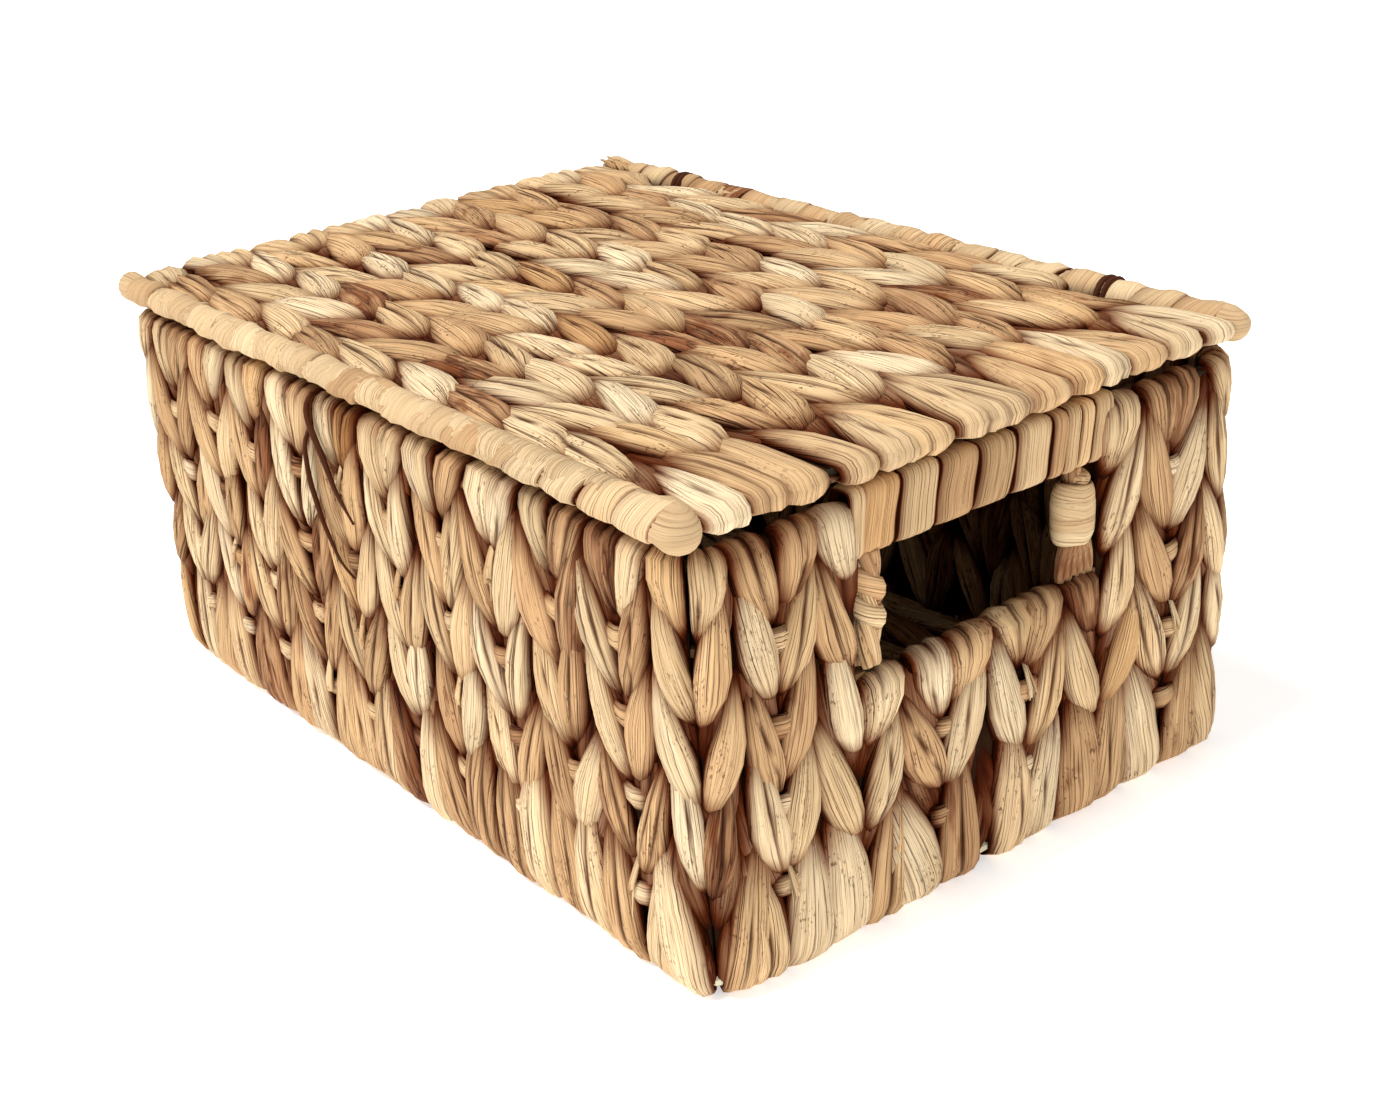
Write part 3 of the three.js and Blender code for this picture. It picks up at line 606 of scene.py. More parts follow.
def wall_meshes(name, columns, width, top, seed):
    """A wall's rows as flat meshes: outer rows, the row over its top, the row under its bottom, inner rows."""
    s = settings()
    leaf = hyacinth_leaf()
    pitch = s.stitch_pitch
    straight = top + PRESSED - 2 * WALL_HALF - SHOULDER_DROP
    inner = straight + math.pi * FOLD_RADIUS + 12 * MM
    rows = round(straight / pitch) - 1
    first = pitch + 3 * MM
    common = {"Columns": columns, "Column_Width": width, "Pitch": pitch, "Stretch": width / s.column_width,
              "Turn": 0.11, "Shift": 1.7 * MM}
    plain = bundles("plain", PLAIN, s.stitch_length, 0)
    over = bundles("over", OVER_TOP, s.fold_length, 20)
    under = bundles("under", UNDER_EDGE, s.edge_length, 40)
    meshes = layered(name, common, seed, (
        ("over", 1, over, first + (rows - 1) * pitch, 10, leaf),
        ("under", 1, under, first + UNDER_REACH - s.edge_length, 20, leaf),
        ("inner", rows, plain, inner, 30, leaf),
        ("outer", rows - 1, plain, first, 0, leaf),
        ("behind", rows + 1, plain, first - 1.4 * pitch, 50, leaf)))
    draw = np.random.default_rng(seed)
    for number in range(columns * rows // 9):
        tip = ((2 * draw.integers(1, max(2, columns // 2)) - columns / 2) * width,
               first + draw.integers(0, rows) * pitch)
        meshes += cut_end(f"{name}_cut_{number}", tip, draw)
    if columns > 2:
        bands = stock("bands", lambda part, number: band_shape(part, s.seed + 60 + number), 2)
        common.update(Columns=columns // 2 - 1, Column_Width=2 * width, Paired=0.0, Stretch=1.0, Kinds=2)
        meshes += layered(name, common, seed, (("bands", rows, bands, first - 5.5 * MM, 40, leaf),))
    return meshes, straight


def wall_piece(name, quarter, low, high, top, seed, node):
    """Twines one wall or one block of an end, folds it and puts it in place of its node."""
    columns = 2 * round((high - low) / settings().column_width / 2)
    meshes, straight = wall_meshes(name, columns, (high - low) / columns, top, seed)
    meshes.append(core_mesh(f"{name}_core", (high - low) / 2 - 0.4 * MM, straight, 2.6 * MM))
    mesh = joined_mesh(name, meshes)
    points = points_of(mesh)
    end = wall_end(quarter) + 1.2 * MM
    across = np.clip(points[:, 0] + (low + high) / 2, -end, end)
    out, height = folded(points[:, 1], points[:, 2], straight)
    height += WALL_HALF - PRESSED
    out -= np.where(out > 0, FOOT_INSET, 0) * np.clip(1 - height / FOOT_HEIGHT, 0, 1) ** 2
    placed = uneven(on_wall(quarter, across, out, height), 1.9 * MM, DRIFT_LENGTH, seed)
    placed[:, 2] = np.maximum(placed[:, 2], 0.2 * MM)
    show(moved(mesh, placed), name, "box", node, slot="leaf")


def parted(placed, tie, edge):
    """Draws the leaves aside where a tie loop passes, with room for the loop to slip round as the lid swings."""
    beside = np.abs(placed[:, 0] - centred(tie)[0].x)
    near = np.clip((TIE_ROOM["reach"] - beside) / TIE_ROOM["shoulder"], 0, 1)
    near = near * near * (3 - 2 * near)
    beyond = np.clip((placed[:, 1] - edge) / TIE_ROOM["length"] + 1, 0, 1.2)
    placed[:, 1] -= TIE_ROOM["depth"] * near * beyond
    return placed


def panel_piece(name, body, low, high, node, seed, rows=9, columns=14):
    """Twines a flat panel whose rows run along the box: the lid or the base."""
    s = settings()
    leaf, pale = hyacinth_leaf(), edge_leaf()
    straight = (high.x - low.x) - (high.z - low.z)
    width = (high.y - low.y + 1 * MM) / columns
    first, last = 37 * MM, straight - 30 * MM
    pitch = (last - first) / rows
    common = {"Columns": columns, "Column_Width": width, "Pitch": pitch, "Stretch": width / s.column_width,
              "Height": 1.12}
    plain = bundles("long", LONG, s.lid_stitch_length, 80)
    start = bundles("lid_start", LID_START, s.fold_length, 100)
    end = bundles("lid_end", LID_END, s.edge_length, 120)
    meshes = layered(name, common, seed, (
        ("top", rows, plain, first, 0, leaf),
        ("low", rows + 1, plain, straight + math.pi * PANEL_FOLD_RADIUS + 8 * MM, 30, leaf),
        ("start", 1, start, last, 10, pale),
        ("end", 1, end, first + UNDER_REACH - s.edge_length, 20, pale),
        ("behind", rows + 1, plain, first - 0.4 * pitch, 50, leaf)))
    meshes.append(core_mesh(f"{name}_core", (high.y - low.y) / 2 - 11 * MM, straight, 3.6 * MM))
    mesh = joined_mesh(name, meshes)
    points = points_of(mesh)
    out, height = folded(points[:, 1], points[:, 2], straight, PANEL_FOLD_RADIUS)
    to_edge = (high.y - low.y) / 2 - np.abs(points[:, 0])
    out *= 1 - 0.34 * np.clip(1 - to_edge / (20 * MM), 0, 1) ** 1.5
    middle = (high + low) / 2
    placed = np.stack([straight / 2 - height + middle.x, points[:, 0] + middle.y, out + middle.z], 1)
    placed = uneven(placed, 1.2 * MM, DRIFT_LENGTH, seed)
    if body == "lid":
        for tie in ("tie_loop_right", "tie_loop_left"):
            placed = parted(placed, tie, high.y)
    show(moved(mesh, placed), name, body, node, slot="leaf")


# Windings: strips wound round a bar, and single strands along a path


def outline(half_x, half_z, squareness, count):
    """Points and outward directions of a bar's section, evenly spaced round it, with the way round to each."""
    angle = np.linspace(0, 2 * math.pi, 721)
    power = 2 / squareness
    x = half_x * np.sign(np.cos(angle)) * np.abs(np.cos(angle)) ** power
    z = half_z * np.sign(np.sin(angle)) * np.abs(np.sin(angle)) ** power
    way = np.concatenate([[0], np.cumsum(np.hypot(np.diff(x), np.diff(z)))])
    marks = way[-1] * np.arange(count) / count
    x, z = np.interp(marks, way, x), np.interp(marks, way, z)
    turn_x, turn_z = np.roll(x, -1) - np.roll(x, 1), np.roll(z, -1) - np.roll(z, 1)
    long = np.hypot(turn_x, turn_z)
    return x, z, turn_z / long, -turn_x / long, marks


def strip_shape(name, section, width, proud, slant, count, seed, seam, domed):
    """One turn of a strip round a bar that runs along the second axis, flat or domed, with its edges tucked in."""
    draw = np.random.default_rng(seed)
    x, z, out_x, out_z, marks = outline(*section, count)
    places = np.array([-0.5, -0.38 if domed else -0.43, -0.18, 0.12, 0.36, 0.5, 0.3, -0.3])[:, None]
    heights = np.array([-1.2, 0.1 if domed else 0.25, 0.85, 1.0, 0.4 if domed else 0.8, -1.2, 0, 0])[:, None]
    heights *= proud
    heights[6:] = -1.9 * MM
    way = 2 * math.pi * np.arange(count) / count
    phase = draw.uniform(-0.4, 0.4)
    drift = slant * np.sin(way + phase) + draw.uniform(0, 0.04) * width * np.sin(2 * way + draw.uniform(0, 6))
    swell = 1 + draw.uniform(0, 0.16) * np.sin(2 * way + draw.uniform(0, 6))
    reach = heights * np.where(heights > 0, swell, 1)
    points = np.stack([x + out_x * reach, places * width + drift, z + out_z * reach], 2).reshape(-1, 3)
    round_way = np.minimum(marks, marks[-1] + marks[1] - marks)
    uv = np.stack(np.broadcast_arrays(places * width, round_way), 2).reshape(-1, 2)
    # Painted shade at the seams: a larger seam share gives the tucked edges a lower rise, which the leaf material
    # paints darker
    rise = np.where(heights > -1.5 * proud, 0.95 - seam + seam * heights / proud, 0.12).repeat(count)
    faces = tube_faces(len(places), count, flip=True, closed=True)
    return blank_mesh(name, points, faces, uv, {"rise": rise, "tuck": 0.5, "strand": 0.0})


def strip_set(name, section, width, proud, slant, count=24, kinds=4, seam=0.4, domed=False):
    """A set of single turns of a strip that differ a little."""
    start = settings().seed
    return stock(name, lambda part, number: strip_shape(
        part, section, width, proud, slant, count, start + number, seam, domed), kinds)


def wound(name, shapes, rows, pitch, first, material, seed, shift=0.4 * MM):
    """A flat run of strips along the second axis."""
    return stitched(name, Columns=1, Paired=0.0, Rows=rows, Pitch=pitch, Leaves=shapes, Turn=0.0, Shift=shift,
                    Kinds=len(shapes.objects), Spread=0.02, Seed=seed, Leaf=material, Column_Width=0.0,
                    First_Tip=first)


def strand_mesh(name, path, radii, flat=1.0, sides=8, tint=(0.5, 0.5, 0.5), material=None, fibres="along"):
    """A closed strand along a path, with one radius or one at each point. Flat makes it a strip. Its fibres run
    along it, round it, or over its ends."""
    path = [Vector(point) for point in path]
    radii = (np.zeros(len(path)) + radii).tolist()
    ways = [(path[min(i + 1, len(path) - 1)] - path[max(i - 1, 0)]).normalized() for i in range(len(path))]
    across = ways[0].orthogonal().normalized()
    points, uv = [], []
    length = 0.0
    for number, (point, way) in enumerate(zip(path, ways)):
        across = (across - way * across.dot(way)).normalized()
        up = way.cross(across)
        length += (point - path[max(number - 1, 0)]).length
        for side in range(sides):
            angle = 2 * math.pi * side / sides
            points.append(point + radii[number] * (across * math.cos(angle) * flat + up * math.sin(angle)))
            uv.append((max(radii) * abs(angle - math.pi), length))
    tip = len(points)
    faces = tube_faces(len(path), sides, flip=True)
    faces += end_faces(tip, 0, sides, True) + end_faces(tip + 1, tip - sides, sides, False)
    points += [path[0], path[-1]]
    uv += [(0, 0), (0, length)]
    if fibres == "round":
        uv = [pair[::-1] for pair in uv]
    if fibres == "over":
        uv = [(point[2], point[1]) for point in points]
    mesh = blank_mesh(name, points, faces, uv, {"rise": 0.8, "tuck": 0.5, "strand": 0.0}, tint)
    mesh.materials.append(material or hyacinth_leaf())
    return mesh


def smooth_path(corners, count):
    """Points along a soft curve through the given ones."""
    corners = np.array(corners, float)
    marks = np.concatenate([[0], np.cumsum(np.linalg.norm(np.diff(corners, axis=0), axis=1))])
    spread = np.linspace(0, marks[-1], count)
    path = np.stack([np.interp(spread, marks, corners[:, axis]) for axis in range(3)], 1)
    for _ in range(max(1, count // 10)):
        path[1:-1] = (path[:-2] + 2 * path[1:-1] + path[2:]) / 4
    return path


def cut_end(name, tip, draw):
    """The frayed end of a leaf that sticks out where two stitches meet, with a loose fibre."""
    meshes = []
    aside = draw.uniform(-5, 5)
    for part in range(4):
        long = draw.uniform(4, 9) if part < 3 else draw.uniform(10, 20)
        thick = (draw.uniform(0.7, 1.3) if part < 3 else 0.28) * MM
        lean = aside + draw.uniform(-2.5, 2.5)
        marks = [(0.3 * lean, 7, -1.5), (0.5 * lean, 2, 0.6), (0.8 * lean, -0.5 * long, 2.4), (lean, -long, 2.9)]
        path = [(tip[0] + x * MM, tip[1] + y * MM, z * MM) for x, y, z in marks]
        radii = [thick, thick, 1.1 * thick, 0.7 * thick]
        tint = (draw.uniform(0, 0.7), 0.5, draw.uniform(0.2, 0.8))
        meshes.append(strand_mesh(f"{name}_{part}", path, radii, 0.7, 5, tint))
    return meshes


def placed_mesh(mesh, place, seed, amount=0.5 * MM, mirrored=False):
    """Moves a flat run's points by a function of its points, unevenly, and mirrors it for the far end."""
    points = uneven(place(points_of(mesh)), amount, 25 * MM, seed)
    if mirrored:
        points[:, 0] *= -1
        mesh.flip_normals()
    return moved(mesh, points)


# Materials


def new_material(name):
    """A material with an empty tree, its Principled shader and its output."""
    material = bpy.data.materials.new(name)
    material.use_nodes = True
    tree = material.node_tree
    tree.nodes.clear()
    shader = add(tree, "ShaderNodeBsdfPrincipled")
    add(tree, "ShaderNodeOutputMaterial", {0: shader.outputs[0]})
    return material, tree, shader


def ramped(tree, value, stops):
    """A ramp through stops, each a place and a linear colour."""
    ramp = add(tree, "ShaderNodeValToRGB", {0: value})
    elements = ramp.color_ramp.elements
    for element, (position, shade) in zip(list(elements), (stops[0], stops[-1])):
        element.color, element.position = shade, position
    for position, shade in stops[1:-1]:
        elements.new(position).color = shade
    return ramp.outputs[0]


def leaf_material(name, stops, grain=1.0, speckle=1.0, bump=0.5, slant=0.25, roughness=0.68):
    """Dried water hyacinth: flattened stalks with fine fibres along them, dull satin, straw to brown. From each
    point's rise it paints shade on low parts and in gaps, and a highlight on crowns.
    """
    if name in bpy.data.materials:
        return bpy.data.materials[name]
    material, tree, shader = new_material(name)
    calc, times, times_plus, plus, minus = maths(tree)

    def ranged(value, low, high, to_low=0.0, to_high=1.0):
        return add(tree, "ShaderNodeMapRange", {0: value, 1: low, 2: high, 3: to_low, 4: to_high},
                   interpolation_type="SMOOTHSTEP").outputs[0]

    def joined(x, y, z):
        return add(tree, "ShaderNodeCombineXYZ", {0: x, 1: y, 2: z}).outputs[0]

    def coated(base, *coats):
        """Lays coats over the base: how each blends, its share and its colour."""
        for blend, share, coat in coats:
            coat = colour(coat) if isinstance(coat, str) else coat
            base = add(tree, "ShaderNodeMix", {0: share, 6: base, 7: coat}, data_type="RGBA",
                       blend_type=blend).outputs[2]
        return base

    uv = add(tree, "ShaderNodeUVMap", uv_map="UVMap").outputs[0]
    side, along, _ = add(tree, "ShaderNodeSeparateXYZ", {0: uv}).outputs
    tint = add(tree, "ShaderNodeAttribute", attribute_name="tint").outputs["Vector"]
    tone, second, third = add(tree, "ShaderNodeSeparateXYZ", {0: tint}).outputs
    rise, tuck, strand, groove = (add(tree, "ShaderNodeAttribute", attribute_name=key).outputs["Fac"]
                                  for key in ("rise", "tuck", "strand", "groove"))

    # Each bundle is twisted a little, so its fibres run aslant
    across = times_plus(along, times(minus(second, 0.5), slant), side)

    def grained(across_mm, along_mm, detail, offset):
        """Noise drawn out along the leaf: one wave across_mm wide and along_mm long."""
        place = joined(times(across, 1 / (across_mm * MM)), times(along, 1 / (along_mm * MM)),
                       times_plus(third, 40.0, offset))
        return add(tree, "ShaderNodeTexNoise", {"Vector": place, "Scale": 1.0, "Detail": detail}).outputs[0]

    def veins(spacing_mm, half_share, wander, offset, power):
        """Lines along the leaf, each of its own strength, that come and go on their way."""
        drift = minus(grained(3 * spacing_mm, 60, 1.0, offset), 0.5)
        drift = times_plus(drift, wander, times(third, 31.0))
        place = times_plus(across, 1 / (spacing_mm * MM), drift)
        cell = calc("FLOOR", place)
        key = joined(cell, times(third, 57.0), offset)
        strength = add(tree, "ShaderNodeTexWhiteNoise", {"Vector": key}).outputs["Value"]
        away = calc("ABSOLUTE", minus(minus(place, cell), 0.5))
        line = times(ranged(away, 0.0, half_share, 1.0, 0.0), calc("POWER", strength, power))
        return times(line, ranged(grained(1.6 * spacing_mm, 24, 1.0, offset + 3.0), 0.36, 0.58))

    broad = grained(5.0, 45, 2.0, 0.0)
    fibre = grained(0.9, 35, 3.0, 7.0)
    hair = veins(0.62, 0.36, 1.5, 5.0, 0.7)
    vein = veins(1.35, 0.18, 1.6, 11.0, 0.9)
    crease = veins(3.8, 0.07, 1.2, 29.0, 0.7)
    # Painted shade in the dips between the strands of a bundle
    groove_shade = ranged(groove, 0.45, 0.95)
    patch = grained(9.0, 22, 2.0, 19.0)
    specks = times(ranged(grained(0.8, 2.6, 2.0, 23.0), 0.57, 0.66), ranged(patch, 0.5, 0.62))
    stain = times(ranged(grained(7.0, 26, 2.0, 43.0), 0.57, 0.7), ranged(tone, 0.55, 0.9))
    ends = ranged(calc("ABSOLUTE", minus(tuck, 0.5)), 0.28, 0.5)
    turned = times_plus(minus(second, 0.5), times(strand, 0.3), tone)
    tone_here = times_plus(minus(broad, 0.5), 0.45, turned)
    # light: the fibre grain and each bundle's random brightness, with painted shade on the low flanks of a bundle
    # and a painted highlight on its crown, from the rise
    light = times_plus(minus(fibre, 0.5), 0.7 * grain, 1.0)
    light = times(light, times_plus(second, 0.16, 0.92))
    light = times(light, ranged(rise, 0.4, 0.95, 0.66, 1.1))
    base = coated(
        ramped(tree, tone_here, [(place, colour(text)) for place, text in stops]),
        ("MIX", times(ranged(third, 0.86, 1.0), 0.3 * grain), "b89f78"),
        ("MIX", times(ranged(third, 0.12, 0.0), 0.3 * grain), "d29c5a"),
        ("MIX", times(stain, 0.75 * speckle), "7c4527"),
        ("MULTIPLY", 1.0, joined(light, light, light)),
        # Tucked ends browner and darker: partly the leaf's own colour, partly painted shade where they go under
        # their neighbours
        ("MULTIPLY", times(ends, 0.6), "b98a60"),
        ("MULTIPLY", times(hair, 0.8 * grain), "a67f58"),
        ("MULTIPLY", times(vein, 0.95 * grain), "7a4823"),
        # Crease lines are marks on the leaf; the groove shade adds painted shade in the dips between strands
        ("MULTIPLY", times(calc("MAXIMUM", crease, groove_shade), 0.9 * grain), "5c2d12"),
        ("MIX", times(specks, 0.7 * speckle), "553019"),
        # Painted shade: the low parts of each bundle darker and warmer, from the rise
        ("MULTIPLY", ranged(rise, 0.26, 0.82, 1.0, 0.0), "a35018"),
        # Painted shade: the lowest parts, down in the gaps, go to the seam shade colour
        ("MIX", ranged(rise, 0.14, 0.56, 0.97, 0.0), settings().seam))
    height = times_plus(crease, -1.6, times_plus(vein, -0.9, times_plus(broad, 1.6, fibre)))
    bumped = add(tree, "ShaderNodeBump", {"Height": height, "Strength": bump, "Distance": 0.9 * MM}).outputs[0]
    tree.links.new(base, shader.inputs["Base Color"])
    tree.links.new(times_plus(fibre, 0.2, roughness - 0.1), shader.inputs["Roughness"])
    tree.links.new(bumped, shader.inputs["Normal"])
    shader.inputs["Specular IOR Level"].default_value = 0.03
    return material


def hyacinth_leaf():
    """The leaf of walls and lid. Only the darkest tones come near umber and bark."""
    s = settings()
    return leaf_material("dried_hyacinth_leaf", [
        (0.0, s.straw), (0.3, "e1c397"), (0.6, s.tan), (0.84, "c39b71"), (0.95, "a87b57"), (1.04, s.umber),
        (1.14, s.bark)], bump=0.8)


def edge_leaf():
    """The even, pale leaf that the lid's short edges are finished with."""
    s = settings()
    return leaf_material("pale_edge_leaf", [(0.0, s.straw), (0.5, "dfc196"), (1.0, s.tan)], grain=0.8,
                         speckle=0.5, bump=0.6)


def pale_leaf():
    """The pale, close leaf of rims and barrels."""
    return leaf_material("pale_hyacinth_leaf", [(0.0, "dcc299"), (0.6, "cfb087"), (1.0, "bb956c")], grain=0.6,
                         speckle=0.3, bump=0.45, slant=0.7, roughness=0.6)


def hyacinth_grip():
    """The smooth, broad strips of the grips."""
    return leaf_material("wound_hyacinth_strip", [(0.0, "d4b68c"), (0.6, "c6a277"), (1.0, "b58e65")], grain=1.0,
                         speckle=0.2, bump=0.6, slant=0.12, roughness=0.62)


def brown_leaf():
    """The dark twisted leaf of ties and loose strands."""
    return leaf_material("dark_hyacinth_cord", [(0.0, "3a1e14"), (0.6, "54301f"), (1.0, "6b3d26")], grain=0.8,
                         speckle=0.2, bump=0.4, roughness=0.55)


def mottled(name, dark, bright, size, roughness, sheen):
    """A dull surface that goes unevenly between two linear colours."""
    if name in bpy.data.materials:
        return bpy.data.materials[name]
    material, tree, shader = new_material(name)
    place = add(tree, "ShaderNodeTexCoord").outputs["Object"]
    mottle = add(tree, "ShaderNodeTexNoise", {"Vector": place, "Scale": 1 / size, "Detail": 3.0}).outputs[0]
    tree.links.new(ramped(tree, mottle, [(0.0, dark), (1.0, bright)]), shader.inputs["Base Color"])
    shader.inputs["Roughness"].default_value = roughness
    shader.inputs["Specular IOR Level"].default_value = sheen
    return material


def shaded_leaf():
    """Painted shade for leaf deep in the weave, where hardly any light gets: very dark, rough and without sheen.
    """
    return mottled("shaded_hyacinth_leaf", colour("160b05"), colour("3a2110"), 5 * MM, 0.95, 0.05)


def lacquered_wire(name, text):
    """Drawn steel wire with a thin lacquer: dull, slightly mottled where the lacquer is thin."""
    *shade, solid = colour(text)
    return mottled(name, (*(0.6 * part for part in shade), solid), (*shade, solid), 6 * MM, 0.75, 0.08)


# Operators, one for each group of pieces


class WOVENBOX_OT_walls(bpy.types.Operator):
    """Twines the front and back walls"""

    bl_idname = "woven_box.walls"
    bl_label = "Twine the long walls"

    def execute(self, context):
        for name, quarter, seed in (("front_weave", 0, 100), ("back_weave", 2, 200)):
            end = wall_end(quarter)
            wall_piece(f"{name}_leaves", quarter, -end, end, WALL_TOP, seed, name)
        return {"FINISHED"}


class WOVENBOX_OT_ends(bpy.types.Operator):
    """Twines the two ends round their hand holes"""

    bl_idname = "woven_box.ends"
    bl_label = "Twine the ends"

    def execute(self, context):
        for side, quarter, seed in (("right", 1, 300), ("left", 3, 400)):
            end = wall_end(quarter)
            for part, top in (("front", WALL_TOP), ("under_grip", RAIL_TOP), ("back", WALL_TOP)):
                node = f"{side}_end_weave_{part}"
                edges = sorted(corner.y * (1 if side == "right" else -1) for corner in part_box(node))
                if part != "under_grip":
                    edges = (-end if edges[0] < -HALF_WIDTH / 2 else edges[0],
                             end if edges[1] > HALF_WIDTH / 2 else edges[1])
                wall_piece(f"{node}_leaves", quarter, *edges, top, seed, node)
                seed += 7
        return {"FINISHED"}


class WOVENBOX_OT_panels(bpy.types.Operator):
    """Twines the lid and the base"""

    bl_idname = "woven_box.panels"
    bl_label = "Twine the lid and the base"

    def execute(self, context):
        panel_piece("lid_weave_leaves", "lid", LID_LOW, LID_HIGH, "lid_weave", 500)
        # The base's leaves reach in between those of the walls, so no light shows round its edge
        reach = Vector((4.5, 3, 0)) * MM
        panel_piece("base_weave_leaves", "box", BASE_LOW - reach, BASE_HIGH + reach, "base_weave", 600)
        return {"FINISHED"}


class WOVENBOX_OT_grips(bpy.types.Operator):
    """Winds the grips, the rope uprights and the barrel uprights of both hand holes"""

    bl_idname = "woven_box.grips"
    bl_label = "Wind the grips"

    def execute(self, context):
        for side, mirrored, seed in (("right", False, 700), ("left", True, 740)):
            makers = (("grip", self.grip, 0), ("rope", self.rope, 10), ("barrel", self.barrel, 20))
            for kind, make, later in makers:
                node = f"{side}_{kind}_wrap"
                middle, half = centred(node)
                middle = np.array((abs(middle.x), middle.y, middle.z))
                make(node, middle, half, mirrored, seed + later)
        return {"FINISHED"}

    def upright(self, name, node, middle, runs, seed, amount, mirrored, slot="leaf"):
        """Stands runs that lie along the second axis on end, as one piece."""
        mesh = placed_mesh(joined_mesh(name, runs), lambda p: p[:, (0, 2, 1)] * (1, -1, 1) + middle, seed, amount,
                           mirrored)
        show(mesh, name, "box", node, slot=slot)

    def grip(self, node, middle, half, mirrored, seed):
        """Broad flat strips, with a few slim ones at the back end."""
        proud = 0.7 * MM
        section = (half.x - proud, half.z - proud, 5.5)
        slim_pitch, slim = 7.5 * MM, 4
        stretch = 2 * half.y - slim * slim_pitch
        rows = round(stretch / (20 * MM))
        pitch = stretch / rows
        broad = strip_set("broad_strips", section, pitch + 1.1 * MM, proud, 2 * MM, 32, seam=0.55)
        thin = strip_set("slim_strips", section, slim_pitch + 0.8 * MM, proud, 1.4 * MM, 32, seam=0.55)
        leaf = hyacinth_grip()
        runs = [wound(f"{node}_broad", broad, rows, pitch, -half.y + pitch / 2, leaf, seed),
                wound(f"{node}_foot", thin, 2, 2 * half.y + 1 * MM, -half.y - 0.5 * MM, leaf, seed + 2),
                wound(f"{node}_slim", thin, slim, slim_pitch, half.y - (slim - 0.5) * slim_pitch, leaf, seed + 1),
                strand_mesh(f"{node}_core", [(0, -half.y, 0), (0, half.y, 0)], 4 * MM, material=leaf)]
        name = f"{node}_strips"
        mesh = placed_mesh(joined_mesh(name, runs), lambda p: p + middle, seed, 0.6 * MM, mirrored)
        show(mesh, name, "box", node)

    def rope(self, node, middle, half, mirrored, seed):
        """Five strands laid round each other, with two wraps over them."""
        section = (half.x - 1.4 * MM, half.y - 1.4 * MM, 2.2)
        broad = strip_set("rope_wraps", section, 12.5 * MM, 2 * MM, 4 * MM, domed=True)
        runs = [wound(f"{node}_wraps", broad, 2, 12 * MM, -3 * MM, hyacinth_leaf(), seed, 0.8 * MM)]
        for number in range(5):
            start = 2 * math.pi * number / 5
            path = []
            for height in (half.z + 2 * MM) * np.linspace(-1, 1, 25):
                angle = start + height / (11 * MM)
                path.append((3.3 * MM * math.cos(angle), height, 3.7 * MM * math.sin(angle)))
            tint = (0.25 + 0.17 * number, 0.5, 0.1 * number)
            runs.append(strand_mesh(f"{node}_{number}", path, 2.8 * MM, tint=tint))
        self.upright(f"{node}_strands", node, middle, runs, seed, 1.2 * MM, mirrored)

    def barrel(self, node, middle, half, mirrored, seed):
        """A close pale winding with a knot over it and tails under it."""
        low, high = -half.z + 11 * MM, half.z - 8 * MM
        rows = round((high - low) / (5.8 * MM))
        pitch = (high - low) / rows
        rings = strip_set("barrel_turns", (half.x - 0.5 * MM, half.y - 1.2 * MM, 2.1), pitch + 2 * MM, 0.2 * MM,
                          1.6 * MM, seam=0.12)
        turns = wound(f"{node}_turns", rings, rows, pitch, low + pitch / 2, pale_leaf(), seed, 0.2 * MM)
        points = points_of(turns)
        share = 1 - 0.17 * ((points[:, 1] - (low + high) / 2) / (high - low) * 2) ** 4
        points[:, (0, 2)] *= np.clip(share, 0.5, 1)[:, None]
        core = strand_mesh(f"{node}_core", [(0, -half.z, 0), (0, high - 0.5 * MM, 0)], [3.4 * MM, half.x * 0.6],
                           sides=12, tint=(0.9, 0.5, 0.5))
        knot = [(3.2 * MM * math.cos(a), high + 2.6 * MM + 0.5 * MM * math.sin(2 * a),
                 3.2 * MM * math.sin(a) - 2 * MM) for a in np.linspace(0, 2 * math.pi * 1.15, 18)]
        neck = smooth_path([(0, high - 2 * MM, 0), (0, half.z, 1 * MM)], 5)
        runs = [moved(turns, points), core, strand_mesh(f"{node}_knot", knot, 2.5 * MM, tint=(0.55, 0.5, 0.5)),
                strand_mesh(f"{node}_neck", neck, 3.6 * MM, tint=(0.85, 0.5, 0.5))]
        radii = np.array((3.6, 3.6, 3.5, 3.3, 3.1, 2.8, 2)) * MM
        for number in range(5):
            lean = (number - 2) * 3.2 * MM
            path = smooth_path([(0.5 * MM * number, low + 3 * MM, lean * 0.6), (1 * MM, low - 5 * MM, lean),
                                (0.5 * MM, -half.z - 5 * MM, lean * 1.3)], 7)
            runs.append(strand_mesh(f"{node}_tail_{number}", path, radii, 0.8, 6, (0.8 + 0.04 * number, 0.4, 0.3)))
        self.upright(f"{node}_cord", node, middle, runs, seed, 0.5 * MM, mirrored, "pale_leaf")


